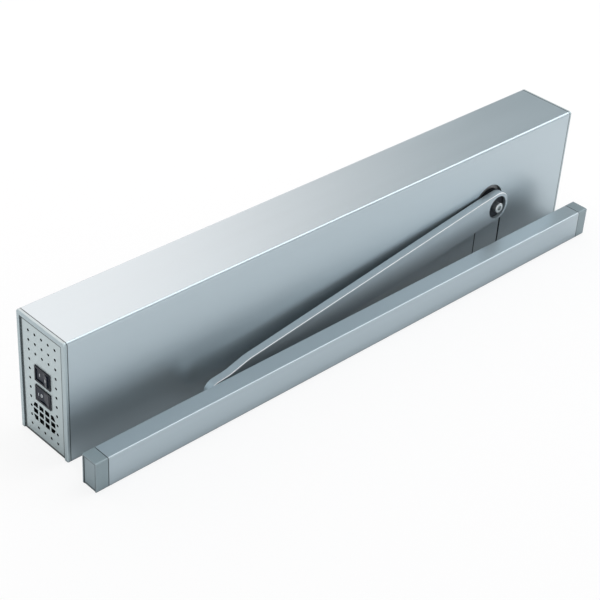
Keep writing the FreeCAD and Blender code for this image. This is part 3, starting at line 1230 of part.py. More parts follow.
def arm():
    """The forged arm with its counterbored eye and the hole of the slider's pin."""
    bar = arm_outline().extrude(Vector(0, ARM_FAR_FRONT_Y - ARM_BACK_Y, 0)).common(arm_side())
    bar = bar.makeChamfer(ARM_EDGE_CHAMFER, front_outline(bar))
    far = SPINDLE_X - ARM_CENTRES
    eye_y = (ARM_FRONT_Y - 1, ARM_BACK_Y - ARM_EYE_FLOOR)
    tools = [rod_y(ARM_EYE_RADIUS, SPINDLE_X, eye_y, SPINDLE_Z)]
    square = HUB_SQUARE + 2 * HUB_SQUARE_CLEARANCE
    tools.append(square_y(square, (ARM_FRONT_Y, ARM_BACK_Y + 1)))
    pin_y = (ARM_FAR_FRONT_Y - 1, ARM_FAR_BACK_Y + 1)
    tools.append(rod_y(SLIDER_PIN_RADIUS + FIT, far, pin_y, SPINDLE_Z))
    return lean(bar.cut(tools))


def front_outline(bar):
    """The edges round the arm's front, which belong to one front face and not to two."""
    faces = [face for face in bar.Faces if face.normalAt(0, 0).y < -0.9]
    edges = [edge for face in faces for edge in face.Edges]
    return [edge for edge in edges if sum(edge.isSame(other) for other in edges) == 1]


def arm_washer():
    """The dark washer on the floor of the arm's eye."""
    y_range = (washer_top_y(), ARM_BACK_Y - ARM_EYE_FLOOR)
    disc = rod_y(WASHER_RADIUS, SPINDLE_X, y_range, SPINDLE_Z)
    return disc.cut(rod_y(ARM_SCREW_RADIUS, SPINDLE_X, (y_range[0] - 1, y_range[1] + 1), SPINDLE_Z))


def arm_screw():
    """The socket-head screw that clamps the arm to the spindle."""
    top = washer_top_y() - ARM_SCREW_HEAD_HEIGHT
    head = rod_y(ARM_SCREW_HEAD_RADIUS, SPINDLE_X, (top, washer_top_y()), SPINDLE_Z)
    rim = [edge for edge in head.Edges if edge.Closed and middle(edge).y < top + 1e-6]
    head = head.makeChamfer(ARM_SCREW_HEAD_CHAMFER, rim)
    shank_y = (washer_top_y(), washer_top_y() + ARM_SCREW_LENGTH)
    shank = rod_y(ARM_SCREW_RADIUS, SPINDLE_X, shank_y, SPINDLE_Z)
    socket = hex_y(ARM_SCREW_SOCKET_FLATS, SPINDLE_X, (top - 1, top + ARM_SCREW_SOCKET_DEPTH), SPINDLE_Z)
    return lean(fuse([head, shank]).cut(socket))


# Channel and slider

def channel_bar(x_range):
    """A bar with the channel's outer section, its two front edges rounded."""
    bar = block(x_range, (CHANNEL_FRONT_Y, CHANNEL_BACK_Y), (0, CHANNEL_HEIGHT))
    front = CHANNEL_FRONT_Y + 1e-6
    return fillet(bar, CHANNEL_EDGE_RADIUS, lambda edge: runs_along(edge, 0) and middle(edge).y < front)


def channel_rail():
    """The slotted channel that the slider runs in."""
    x_range = (CHANNEL_LEFT_X + CHANNEL_CAP_LENGTH, CHANNEL_RIGHT_X - CHANNEL_CAP_LENGTH)
    past = (x_range[0] - 1, x_range[1] + 1)
    inner_y = (CHANNEL_FRONT_Y + CHANNEL_WALL, CHANNEL_BACK_Y - CHANNEL_WALL)
    cavity = block(past, inner_y, (CHANNEL_WALL, CHANNEL_HEIGHT - CHANNEL_WALL))
    half = CHANNEL_SLOT / 2
    slot = block(past, (inner_y[1] - 1, CHANNEL_BACK_Y + 1), (SLIDER_Z - half, SLIDER_Z + half))
    return channel_bar(x_range).cut(cavity).cut(slot)


def channel_cap_left():
    """The hollow end cap over the fixing block, with a shallow panel in its end face."""
    x_range = (CHANNEL_LEFT_X, CHANNEL_LEFT_X + CHANNEL_CAP_LENGTH - CHANNEL_CAP_JOINT)
    cap = channel_bar(x_range)
    inner_y = (CHANNEL_FRONT_Y + CHANNEL_CAP_WALL, CHANNEL_BACK_Y - CHANNEL_CAP_WALL)
    inner_x = (CHANNEL_LEFT_X + CHANNEL_CAP_WALL, x_range[1] + 1)
    hollow = block(inner_x, inner_y, (-1, CHANNEL_HEIGHT - CHANNEL_CAP_WALL))
    panel_y = (CHANNEL_FRONT_Y + CAP_PANEL_INSET, CHANNEL_BACK_Y - CAP_PANEL_INSET)
    panel_x = (CHANNEL_LEFT_X - 1, CHANNEL_LEFT_X + CAP_PANEL_DEPTH)
    panel = block(panel_x, panel_y, (-1, CHANNEL_HEIGHT - CAP_PANEL_INSET))
    return cap.cut(hollow).cut(panel)


def channel_middle_x():
    """The middle of the channel's length."""
    return (CHANNEL_LEFT_X + CHANNEL_RIGHT_X) / 2


def other_channel_end(shape):
    """The same shape at the channel's other end."""
    return shape.mirror(Vector(channel_middle_x(), 0, 0), Vector(1, 0, 0))


def channel_cap_right():
    """The end cap at the other end."""
    return other_channel_end(channel_cap_left())


def channel_fixing_left():
    """The block under the cap that a screw clamps to the door, with a tongue in the rail."""
    rail_x = CHANNEL_LEFT_X + CHANNEL_CAP_LENGTH
    foot_x = (CHANNEL_LEFT_X + CHANNEL_CAP_WALL + BLOCK_CLEARANCE, rail_x - BLOCK_CLEARANCE)
    foot_y = (CHANNEL_FRONT_Y + CHANNEL_CAP_WALL + BLOCK_CLEARANCE,
              CHANNEL_BACK_Y - CHANNEL_CAP_WALL - BLOCK_CLEARANCE)
    foot = block(foot_x, foot_y, (0, CHANNEL_HEIGHT - CHANNEL_CAP_WALL - BLOCK_TOP_GAP))
    inset = CHANNEL_WALL + BLOCK_TONGUE_CLEARANCE
    tongue_x = (foot_x[1], rail_x + BLOCK_TONGUE)
    tongue_y = (CHANNEL_FRONT_Y + inset, CHANNEL_BACK_Y - inset)
    tongue = block(tongue_x, tongue_y, (inset, CHANNEL_HEIGHT - inset))
    hole_x = CHANNEL_LEFT_X + CHANNEL_HOLE_INSET
    hole_y = (CHANNEL_FRONT_Y + CHANNEL_BACK_Y) / 2
    hole = rod_z(CHANNEL_HOLE_RADIUS, hole_x, hole_y, (-1, CHANNEL_HEIGHT))
    return fuse([foot, tongue]).cut(hole)


def channel_fixing_right():
    """The fixing block at the other end."""
    return other_channel_end(channel_fixing_left())


def slider_block():
    """The plastic slider inside the channel."""
    half = SLIDER_LENGTH / 2
    inset = CHANNEL_WALL + SLIDER_CLEARANCE
    y_range = (CHANNEL_FRONT_Y + inset, CHANNEL_BACK_Y - inset)
    slider = block((SLIDER_X - half, SLIDER_X + half), y_range, (inset, CHANNEL_HEIGHT - inset))
    slider = fillet(slider, SLIDER_EDGE_RADIUS, lambda edge: runs_along(edge, 1))
    pin = rod_y(SLIDER_PIN_RADIUS, SLIDER_X, (y_range[1] - SLIDER_PIN_DEPTH, y_range[1] + 1), SLIDER_Z)
    return slider.cut(pin)


def slider_pin():
    """The pin that joins arm and slider, with the collar that the arm runs on."""
    low = CHANNEL_BACK_Y - CHANNEL_WALL - SLIDER_CLEARANCE - SLIDER_PIN_DEPTH
    high = ARM_FAR_BACK_Y + PIN_END_LENGTH
    pin = rod_y(SLIDER_PIN_RADIUS, SLIDER_X, (low, high), SLIDER_Z)
    collar_y = (CHANNEL_BACK_Y + COLLAR_CLEARANCE, ARM_FAR_FRONT_Y - COLLAR_CLEARANCE)
    return fuse([pin, rod_y(COLLAR_RADIUS, SLIDER_X, collar_y, SLIDER_Z)])


def pin_clip():
    """The clip that keeps the arm on the slider's pin."""
    low = ARM_FAR_BACK_Y + COLLAR_CLEARANCE
    clip = rod_y(CLIP_RADIUS, SLIDER_X, (low, low + CLIP_THICKNESS), SLIDER_Z)
    return clip.cut(rod_y(SLIDER_PIN_RADIUS, SLIDER_X, (low - 1, low + CLIP_THICKNESS + 1), SLIDER_Z))


NODES = {
    "cover": cover,
    "cover_slot_insert": cover_slot_insert,
    "end_frame_left": end_frame_left,
    "end_frame_right": end_frame_right,
    "end_plate_left": end_plate_left,
    "end_plate_right": end_plate_right,
    "mounting_plate": mounting_plate,
    "mains_switch_body": lambda: switch_body(MAINS_SWITCH_Z),
    "mains_rocker": lambda: rocker(MAINS_SWITCH_Z, MAINS_REST_TILT),
    "programme_switch_body": lambda: switch_body(PROGRAMME_SWITCH_Z),
    "programme_rocker": lambda: rocker(PROGRAMME_SWITCH_Z, 0),
    "gearbox_body": gearbox_body,
    "gear_cover": gear_cover,
    "cam_cover": cam_cover,
    "case_screws": case_screws,
    "foot_screws": foot_screws,
    "spindle_bearings": spindle_bearings,
    "lay_shaft_bushes": lay_shaft_bushes,
    "output_gear": output_gear,
    "middle_gear": middle_gear,
    "lay_shaft_pinion": lay_shaft_pinion,
    "lay_shaft": lay_shaft,
    "motor_pinion": motor_pinion,
    "motor_shaft": motor_shaft,
    "motor_rotor": motor_rotor,
    "motor_housing": motor_housing,
    "motor_end_cap": motor_end_cap,
    "cam_disc": cam_disc,
    "spring_carriage": spring_carriage,
    "cam_roller": cam_roller,
    "roller_pin": roller_pin,
    "closer_spring": closer_spring,
    "spring_tube": spring_tube,
    "tube_saddles": tube_saddles,
    "tube_end_disc": tube_end_disc,
    "spring_abutment": spring_abutment,
    "adjuster_screw": adjuster_screw,
    "control_tray": control_tray,
    "control_board": control_board,
    "terminal_blocks": terminal_blocks,
    "board_components": board_components,
    "power_supply_case": power_supply_case,
    "spindle": spindle,
    "spindle_hub": spindle_hub,
    "arm": arm,
    "arm_washer": arm_washer,
    "arm_screw": arm_screw,
    "slider_block": slider_block,
    "slider_pin": slider_pin,
    "pin_clip": pin_clip,
    "channel_rail": channel_rail,
    "channel_cap_left": channel_cap_left,
    "channel_cap_right": channel_cap_right,
    "channel_fixing_left": channel_fixing_left,
    "channel_fixing_right": channel_fixing_right,
}


def build():
    """Build and write every node."""
    os.makedirs("parts", exist_ok=True)
    for node, make in NODES.items():
        save(node, make())


build()
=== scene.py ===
# %% [markdown]
# # A swing door operator
#
# The object is a long aluminium casing that lies on its wall side, with a swing arm on its spindle
# and a slide channel in front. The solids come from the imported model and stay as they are. This
# file gives each of them the finish that the maker gave it, and adds the few things that are too
# fine for the solids: the closing spring's round wire and the marks printed on the switches.

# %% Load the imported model
import json
import math

import bpy
import numpy as np
from mathutils import Matrix, Vector


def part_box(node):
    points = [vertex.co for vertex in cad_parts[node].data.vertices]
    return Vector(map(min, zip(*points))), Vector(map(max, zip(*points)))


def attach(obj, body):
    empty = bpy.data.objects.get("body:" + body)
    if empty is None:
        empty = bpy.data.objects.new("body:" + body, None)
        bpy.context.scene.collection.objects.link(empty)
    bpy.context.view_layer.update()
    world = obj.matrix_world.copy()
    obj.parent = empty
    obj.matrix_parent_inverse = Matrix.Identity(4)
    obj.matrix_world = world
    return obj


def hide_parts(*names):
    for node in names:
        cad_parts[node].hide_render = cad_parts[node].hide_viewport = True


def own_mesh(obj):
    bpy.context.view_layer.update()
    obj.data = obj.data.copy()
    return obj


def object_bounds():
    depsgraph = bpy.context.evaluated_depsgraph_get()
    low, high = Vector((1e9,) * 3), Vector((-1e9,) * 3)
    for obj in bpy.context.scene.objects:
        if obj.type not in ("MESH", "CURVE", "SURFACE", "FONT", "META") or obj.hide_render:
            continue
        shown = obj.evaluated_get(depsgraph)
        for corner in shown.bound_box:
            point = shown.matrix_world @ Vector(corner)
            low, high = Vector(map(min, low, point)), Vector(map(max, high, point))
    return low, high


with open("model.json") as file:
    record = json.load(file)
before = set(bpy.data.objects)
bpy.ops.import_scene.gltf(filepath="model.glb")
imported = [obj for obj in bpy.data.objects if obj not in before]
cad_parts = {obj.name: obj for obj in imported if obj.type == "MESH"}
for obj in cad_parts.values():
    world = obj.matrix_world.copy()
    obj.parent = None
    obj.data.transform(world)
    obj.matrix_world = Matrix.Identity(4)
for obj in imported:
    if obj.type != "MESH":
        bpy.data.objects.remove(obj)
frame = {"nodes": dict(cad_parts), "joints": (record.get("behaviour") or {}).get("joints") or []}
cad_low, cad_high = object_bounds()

nodes = frame["nodes"]
print("nodes:", len(nodes), "size in metres:", [round(v, 4) for v in cad_high - cad_low])

# %% [markdown]
# ## The camera
#
# A product photographer stands well back with a long lens, so that the two ends of the casing keep
# nearly the same height. The place and the turn below were worked out from the casing's straight
# edges in the photograph: how far round the object the camera stands, how far above it, and how
# far the frame leans to one side.

# %% Camera at the photograph's angle
IMAGE_SIDE = 600
FOCAL_LENGTH_PIXELS = 1580.1
SENSOR_WIDTH = 36.0
CAMERA_PLACE = Vector((-0.96657, -0.92029, 0.92758))
CAMERA_AZIMUTH = math.radians(-45.591)
CAMERA_ELEVATION = math.radians(34.597)
CAMERA_ROLL = math.radians(3.909)
CAMERA_REACH = 50.0

back = Vector((
    math.sin(CAMERA_AZIMUTH) * math.cos(CAMERA_ELEVATION),
    -math.cos(CAMERA_AZIMUTH) * math.cos(CAMERA_ELEVATION),
    math.sin(CAMERA_ELEVATION),
))
level_right = (-back).cross(Vector((0, 0, 1))).normalized()
level_up = level_right.cross(-back)
right = math.cos(CAMERA_ROLL) * level_right + math.sin(CAMERA_ROLL) * level_up
up = math.cos(CAMERA_ROLL) * level_up - math.sin(CAMERA_ROLL) * level_right
turn = Matrix((right, up, back)).transposed()

camera_data = bpy.data.cameras.new("camera")
camera_data.sensor_width = SENSOR_WIDTH
camera_data.lens = SENSOR_WIDTH * FOCAL_LENGTH_PIXELS / IMAGE_SIDE
camera_data.clip_end = CAMERA_REACH
camera = bpy.data.objects.new("camera", camera_data)
camera.matrix_world = Matrix.Translation(CAMERA_PLACE) @ turn.to_4x4()
bpy.context.scene.collection.objects.link(camera)
bpy.context.scene.camera = camera
bpy.context.scene.view_settings.view_transform = "Standard"
print("lens:", round(camera_data.lens, 1), "mm")

# %% [markdown]
# ## Writing a finish
#
# A finish is a small graph of nodes. Building it one node at a time is long and hard to read, so
# two helpers do the typing. `Nodes.add` makes any node from its settings and its sockets. `Wire`
# stands for one output of a node, and adds a Math node whenever it meets +, -, * or abs, so that
# `0.3 + 0.05 * grain` in the script becomes the same sum in the graph.

# %% Helpers for node graphs
class Wire:
    """One output socket; a sum, difference, product or absolute value adds a Math node."""

    def __init__(self, graph, socket):
        self.graph = graph
        self.socket = socket

    def math(self, operation, first, second):
        return self.graph.add("ShaderNodeMath", {"operation": operation}, {0: first, 1: second})

    def __add__(self, other):
        return self.math("ADD", self, other)

    def __sub__(self, other):
        return self.math("SUBTRACT", self, other)

    def __rsub__(self, other):
        return self.math("SUBTRACT", other, self)

    def __mul__(self, other):
        return self.math("MULTIPLY", self, other)

    def __abs__(self):
        return self.graph.add("ShaderNodeMath", {"operation": "ABSOLUTE"}, {0: self})

    __radd__ = __add__
    __rmul__ = __mul__


class Nodes:
    """The node graph of a finish or of the world, emptied and ready to fill."""

    def __init__(self, owner):
        owner.use_nodes = True
        self.tree = owner.node_tree
        self.tree.nodes.clear()

    def add(self, kind, settings=None, sockets=None, output=0):
        """Adds a node, sets its settings, then its sockets, and returns one of its outputs."""
        made = self.tree.nodes.new(kind)
        for name, value in (settings or {}).items():
            setattr(made, name, value)
        for name, value in (sockets or {}).items():
            if isinstance(value, Wire):
                self.tree.links.new(value.socket, made.inputs[name])
            else:
                made.inputs[name].default_value = value
        return Wire(self, made.outputs[output] if made.outputs else None)

    def mix(self, factor, first, second):
        """A colour between two colours, which a Mix node takes at 6 and 7 and gives at 2."""
        sockets = {0: factor, 6: first, 7: second}
        return self.add("ShaderNodeMix", {"data_type": "RGBA"}, sockets, output=2)

    def place(self, stretch=(1, 1, 1), turned=0.0):
        """The object's own coordinates, turned about Y, then stretched along each axis."""
        own = self.add("ShaderNodeTexCoord", output="Object")
        level = self.add("ShaderNodeMapping", {}, {"Vector": own, "Rotation": (0, turned, 0)})
        return self.add("ShaderNodeMapping", {}, {"Vector": level, "Scale": stretch})

    def axis(self, vector, index=0):
        """One of a vector's three numbers: 0 stands for X, 1 for Y and 2 for Z."""
        return self.add("ShaderNodeSeparateXYZ", {}, {0: vector}, output=index)

    def facing(self, index):
        """How far the surface faces along one of the object's axes, from -1 to 1."""
        return self.axis(self.add("ShaderNodeTexCoord", output="Normal"), index)

    def noise(self, where, per_metre, detail=2.0, roughness=0.5):
        """Soft random values from 0 to 1."""
        sockets = {"Vector": where, "Scale": per_metre, "Detail": detail, "Roughness": roughness}
        return self.add("ShaderNodeTexNoise", {}, sockets)

    def remap(self, value, low, high):
        """A share from 0 at the low value to 1 at the high one, held outside them."""
        sockets = {0: value, 1: low, 2: high, 3: 0.0, 4: 1.0}
        return self.add("ShaderNodeMapRange", {"clamp": True}, sockets)

    def relief(self, height, depth):
        """Bumps of that depth in metres, as a normal."""
        sockets = {"Height": height, "Distance": depth, "Strength": 1.0}
        return self.add("ShaderNodeBump", {}, sockets)

# %% [markdown]
# ## Background
#
# The photograph shows the operator on pure white. More light on the object would give that too, but
# it would wash the object out. So the room has two faces instead: the camera, and the rays that
# metal sends on, see pure white, and everything else is lit by a dimmer and slightly cooler grey.

# %% World
BACKGROUND_WHITE = (1.0, 1.0, 1.0, 1.0)
ROOM_GREY = (0.93, 0.96, 0.98, 1.0)
ROOM_STRENGTH = 0.66


def ray_kinds(graph):
    """1 or 0 for a ray from the camera, and 1 or 0 for one that metal or glass sends on."""
    rays = graph.add("ShaderNodeLightPath")
    outputs = rays.socket.node.outputs
    mirrored = Wire(graph, outputs["Is Glossy Ray"]) + Wire(graph, outputs["Is Transmission Ray"])
    return Wire(graph, outputs["Is Camera Ray"]), mirrored


world = bpy.data.worlds.new("studio")
bpy.context.scene.world = world
sky = Nodes(world)
room = sky.add("ShaderNodeBackground", {}, {"Color": ROOM_GREY, "Strength": ROOM_STRENGTH})
white = sky.add("ShaderNodeBackground", {}, {"Color": BACKGROUND_WHITE, "Strength": 1.0})
from_camera, mirrored = ray_kinds(sky)
both = sky.add("ShaderNodeMixShader", {}, {0: from_camera + mirrored, 1: room, 2: white})
sky.add("ShaderNodeOutputWorld", {}, {"Surface": both})
print("room:", ROOM_STRENGTH, "of white")

# %% [markdown]
# ## Floor
#
# A floor as white as paper gives the pale ground from its own colour, and keeps a soft shadow. A
# share of glow lifts it to the background's white where the camera sees it. Where it lies deep
# between the casing and the channel, the metal mirrors it darker than it is, which gives the casing
# the dark foot of the photograph. The floor is the first mesh that is worked out as a grid of
# points, so the helper for that comes here.

# %% Floor
FLOOR_HALF_SIDE = 6.0
FLOOR_WHITE = (0.93, 0.935, 0.94, 1.0)
FLOOR_GLOW_TO_CAMERA = 0.80
FLOOR_GLOW_IN_MIRRORS = 0.12
FLOOR_IN_CORNERS = (0.05, 0.055, 0.065, 1.0)
CORNER_REACH = 0.09
CORNER_CLOSED = 0.25
CORNER_OPEN = 0.68
CORNER_SAMPLES = 8
PAPER_ROUGHNESS = 0.3
FLOOR_GRID_LINES = 5


def grid_surface(name, points, closed_round=False, closed_along=False, material=None):
    """A mesh whose vertices are a grid of points, (rows, columns, 3), joined to their neighbours.

    Each face takes the four points (i, j), (i, j+1), (i+1, j+1), (i+1, j). A closed direction
    joins its last line of points to its first.
    """
    rows, columns = points.shape[:2]
    i = np.arange(rows if closed_along else rows - 1)
    j = np.arange(columns if closed_round else columns - 1)
    i, j = np.meshgrid(i, j, indexing="ij")
    after_i = (i + 1) % rows
    after_j = (j + 1) % columns
    corners = [
        i * columns + j,
        i * columns + after_j,
        after_i * columns + after_j,
        after_i * columns + j,
    ]
    faces = np.stack(corners, axis=-1).reshape(-1, 4)
    mesh = bpy.data.meshes.new(name)
    mesh.from_pydata(points.reshape(-1, 3).tolist(), [], faces.tolist())
    mesh.shade_smooth()
    mesh.update()
    made = bpy.data.objects.new(name, mesh)
    bpy.context.scene.collection.objects.link(made)
    if material:
        mesh.materials.append(material)
    return made


paper = bpy.data.materials.new("floor_paper")
graph = Nodes(paper)
fibres = graph.noise(graph.place(), per_metre=40.0, detail=3)
settings = {"samples": CORNER_SAMPLES}
reach = {"Distance": CORNER_REACH}
seen_sky = graph.add("ShaderNodeAmbientOcclusion", settings, reach, output="AO")
from_camera, mirrored = ray_kinds(graph)
# painted shade for mirrored rays: the floor is darkened where it sees little sky
mirrored_corner = mirrored * (1 - graph.remap(seen_sky, CORNER_CLOSED, CORNER_OPEN))
paper_colour = graph.mix(mirrored_corner, FLOOR_WHITE, FLOOR_IN_CORNERS)
paper_sockets = {"Color": paper_colour, "Roughness": PAPER_ROUGHNESS}
matt = graph.add("ShaderNodeBsdfDiffuse", {}, paper_sockets)
glow = graph.add("ShaderNodeEmission", {}, {"Color": BACKGROUND_WHITE, "Strength": 1.0})
share = from_camera * FLOOR_GLOW_TO_CAMERA + mirrored * FLOOR_GLOW_IN_MIRRORS
share = share * (0.99 + 0.01 * fibres)
surface = graph.add("ShaderNodeMixShader", {}, {0: share, 1: matt, 2: glow})
graph.add("ShaderNodeOutputMaterial", {}, {"Surface": surface})

side = np.linspace(-FLOOR_HALF_SIDE, FLOOR_HALF_SIDE, FLOOR_GRID_LINES)
floor_x, floor_y = np.meshgrid(side, side)
floor_z = np.full_like(floor_x, cad_low.z)
floor = grid_surface("floor", np.stack([floor_x, floor_y, floor_z], axis=-1), material=paper)
print("floor at z =", round(cad_low.z, 5))

# %% [markdown]
# ## Lamps
#
# Two soft panels light the object, as in a studio. The long one overhead, to the right, draws the
# thin white line along each rounded edge: an edge's rounding mirrors everything from behind over
# the top to the front, so a panel straight above shows in it without washing out the flat faces.
# The broad one behind the camera fills the sides that face it, and no flat face mirrors that one
# into the lens.

# %% Soft panels
def soft_panel(name, place, aim, width, height, radiance):
    """A rectangular lamp that looks equally bright from everywhere.

    Its power is radiance x area x pi.
    """
    lamp = bpy.data.lights.new(name, "AREA")
    lamp.shape = "RECTANGLE"
    lamp.size = width
    lamp.size_y = height
    lamp.energy = radiance * width * height * math.pi
    panel = bpy.data.objects.new(name, lamp)
    panel.location = place
    panel.rotation_euler = (Vector(aim) - Vector(place)).to_track_quat("-Z", "Y").to_euler()
    panel.visible_camera = False
    bpy.context.scene.collection.objects.link(panel)
    print(name, "of", width, "x", height, "m:", round(lamp.energy, 2), "W")


soft_panel(
    "panel_overhead",
    place=(0.92, -0.22, 1.30),
    aim=(0.11, 0.0, 0.1),
    width=1.1,
    height=2.0,
    radiance=1.6,
)
soft_panel(
    "panel_at_camera",
    place=(-1.70, -1.60, 1.65),
    aim=(0.0, 0.0, 0.05),
    width=2.6,
    height=2.6,
    radiance=0.62,
)

# %% [markdown]
# ## Cards for the metal to mirror
#
# Metal is mostly what it mirrors, so what stands round the object matters more than how strong the
# lamps are. A photographer sets cards there, outside the picture. A tall graded card behind the
# object makes the top of the casing nearly white at the switch end and lets it fall to a cool grey
# at the far end. A smaller grey one in front, above the channel, is what the front half of each
# rounded edge mirrors. Neither card throws a shadow or shows to the camera.

# %% Cards for the metal to mirror
BACK_CARD = ((-0.8, 1.15, 0.25), (4.2, 0.0, 0.0), (0.0, 0.0, 2.35))
BACK_CARD_FADE = (0.62, 1.65)
BACK_CARD_COLOURS = ((1.00, 0.885, 0.845, 1.0), (0.17, 0.195, 0.205, 1.0))
BACK_CARD_STRENGTH = 1.85
FRONT_CARD = ((-0.1, -1.15, 0.55), (1.8, 0.0, 0.0), (0.0, 0.6, 0.6))
FRONT_CARD_FADE = (0.3, 1.3)
FRONT_CARD_COLOURS = ((0.50, 0.50, 0.52, 1.0), (0.30, 0.31, 0.33, 1.0))
FRONT_CARD_STRENGTH = 1.0
CARD_COLUMNS = 9
CARD_ROWS = 5


def graded_card(name, place, fade, colours, strength):
    """A flat card of even glow whose colour fades along X; only metal and the floor see it.

    A point on it is the first corner plus a share of each of its two sides.
    """
    corner, along, upward = (np.array(value) for value in place)
    share_along = np.linspace(0, 1, CARD_COLUMNS)[None, :, None]
    share_upward = np.linspace(0, 1, CARD_ROWS)[:, None, None]
    points = corner + share_along * along + share_upward * upward
    material = bpy.data.materials.new(name)
    graph = Nodes(material)
    colour = graph.mix(graph.remap(graph.axis(graph.place()), *fade), *colours)
    glow = graph.add("ShaderNodeEmission", {}, {"Color": colour, "Strength": strength})
    graph.add("ShaderNodeOutputMaterial", {}, {"Surface": glow})
    card = grid_surface(name, points, material=material)
    card.visible_camera = False
    card.visible_shadow = False
    print(name, "of", round(float(along[0]), 2), "m")


graded_card("back_card", BACK_CARD, BACK_CARD_FADE, BACK_CARD_COLOURS, BACK_CARD_STRENGTH)
graded_card("front_card", FRONT_CARD, FRONT_CARD_FADE, FRONT_CARD_COLOURS, FRONT_CARD_STRENGTH)

# %% [markdown]
# ## How every finish ends
#
# Each finish works out a few values and hands them to the same shader. Two more things are shared
# by the outer pieces, and both are painted shade. A colour is darkened where little of the
# surroundings is seen within a few millimetres, which paints the shade of grooves and inner
# corners. And where a piece ends at a joint, or lies deep in a rim, its border is darkened as
# painted shade, which a distance from the middle of its box gives.

# %% Shared parts of the finishes
def finish_output(graph, **sockets):
    """Ends a finish with a Principled shader; underscores in the names stand for spaces."""
    named = {name.replace("_", " "): value for name, value in sockets.items()}
    shader = graph.add("ShaderNodeBsdfPrincipled", {}, named)
    graph.add("ShaderNodeOutputMaterial", {}, {"Surface": shader})


def tint(colour, gain):
    """An opaque colour made lighter or darker by a factor."""
    return tuple(channel * gain for channel in colour) + (1.0,)


JOINT_REACH = 0.003
JOINT_SAMPLES = 3
JOINT_CLOSED = 0.30
JOINT_OPEN = 0.80
JOINT_DARKNESS = 0.25
BORDER_FADE = 0.0004


def painted_joint_shade(graph, colour, base, closed=JOINT_CLOSED, darkness=JOINT_DARKNESS):
    """Darkens a colour as painted shade in grooves and inner corners a few millimetres wide."""
    settings = {"samples": JOINT_SAMPLES}
    reach = {"Distance": JOINT_REACH}
    seen = graph.add("ShaderNodeAmbientOcclusion", settings, reach, output="AO")
    return graph.mix(graph.remap(seen, closed, JOINT_OPEN), tint(colour, darkness), base)


def painted_border_shade(graph, colour, base, node, axes, width, line=None):
    """Shades a border inside a node's box, or only a line of the given width at its inner side.

    Along each axis the measure is the distance from the box's middle, less half the box and plus
    the border's width, so it is positive inside the border. The largest measure counts.
    """
    low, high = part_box(node)
    own = graph.place()
    measures = []
    for axis in axes:
        from_middle = abs(graph.axis(own, axis) - (low[axis] + high[axis]) / 2)
        measures.append(from_middle - ((high[axis] - low[axis]) / 2 - width))
    border = measures[0]
    for measure in measures[1:]:
        border = graph.add("ShaderNodeMath", {"operation": "MAXIMUM"}, {0: measure, 1: border})
    share = graph.remap(border, 0.0, BORDER_FADE)
    if line:
        share = share * (1 - graph.remap(border, line, line + BORDER_FADE))
    # painted shade: the border, or only its inner line, is darkened
    return graph.mix(share, base, tint(colour, JOINT_DARKNESS))

# %% [markdown]
# ## Anodised aluminium
#
# The casing, the channel and the arm are aluminium, etched to a satin and anodised. Such a surface
# isn't brushed: it has faint long lines from the extrusion die, a very fine etched grain, and
# broad, weak clouds where the etching went a little deeper. The lines are noise stretched along the
# profile, the grain is fine noise in the relief, and the clouds change colour and gloss by a few
# hundredths. One function makes them all, because the pieces differ only in colour, gloss and the
# way their lines run. A piece's end takes a dark border, painted shade of the joint it meets, and
# the arm's chamfer is painted near white as a highlight: it is found by the way it faces.

# %% Anodised aluminium
ANODISED_METALLIC = 0.87
LINE_DEPTH = 2.5e-6
LINE_STRETCH = (0.006, 1, 1)
CLOUD_STRETCH = (0.25, 1, 1)
STREAK_STRETCH = (0.02, 1, 1)
END_SHADE_WIDTH = 0.0008
CHAMFER_FACING = 0.707
CHAMFER_FADE = (0.08, 0.16)
CHAMFER_HIGHLIGHT = (0.95, 0.97, 0.98, 1.0)


def anodised(
    name,
    colour,
    gloss=0.36,
    turned=0.0,
    shaded_end_node=None,
    end_shade_width=END_SHADE_WIDTH,
    chamfer_highlight=False,
    metallic=ANODISED_METALLIC,
):
    """Satin anodised aluminium with its extrusion lines along X, or turned about Y from it."""
    material = bpy.data.materials.new(name)
    graph = Nodes(material)
    drawn = graph.place(LINE_STRETCH, turned)
    lines = graph.noise(drawn, per_metre=1100.0, detail=3, roughness=0.6)
    grain = graph.noise(graph.place(), per_metre=5200.0, detail=1)
    clouds = graph.noise(graph.place(CLOUD_STRETCH, turned), per_metre=22.0, detail=2)
    streaks = graph.noise(graph.place(STREAK_STRETCH, turned), per_metre=140.0, detail=2)
    shade = 0.55 * clouds + 0.30 * streaks + 0.15 * lines
    base = graph.mix(shade, tint(colour, 0.955), tint(colour, 1.045))
    # painted shade in grooves and inner corners
    base = painted_joint_shade(graph, colour, base)
    # painted shade of the joint where the piece ends
    if shaded_end_node:
        base = painted_border_shade(graph, colour, base, shaded_end_node, (0,), end_shade_width)
    if chamfer_highlight:
        # painted highlight: faces that lean like the chamfer get a near-white colour
        off_chamfer = abs(graph.facing(1) + CHAMFER_FACING)
        base = graph.mix(graph.remap(off_chamfer, *CHAMFER_FADE), CHAMFER_HIGHLIGHT, base)
    height = 0.7 * lines + 0.3 * grain
    finish_output(
        graph,
        Base_Color=base,
        Metallic=metallic,
        Roughness=gloss - 0.05 + 0.05 * clouds + 0.05 * streaks,
        Normal=graph.relief(height, LINE_DEPTH),
    )
    return material


CASING_COLOUR = (0.486, 0.566, 0.607)
CHANNEL_COLOUR = (0.458, 0.532, 0.572)
CHANNEL_GLOSS = 0.33
ARM_COLOUR = (0.455, 0.527, 0.567)
ARM_GLOSS = 0.38
ARM_METALLIC = 0.74
ARM_SLOPE = math.radians(6.03)
PANEL_CLEAR_HALF_WIDTH = 0.0186

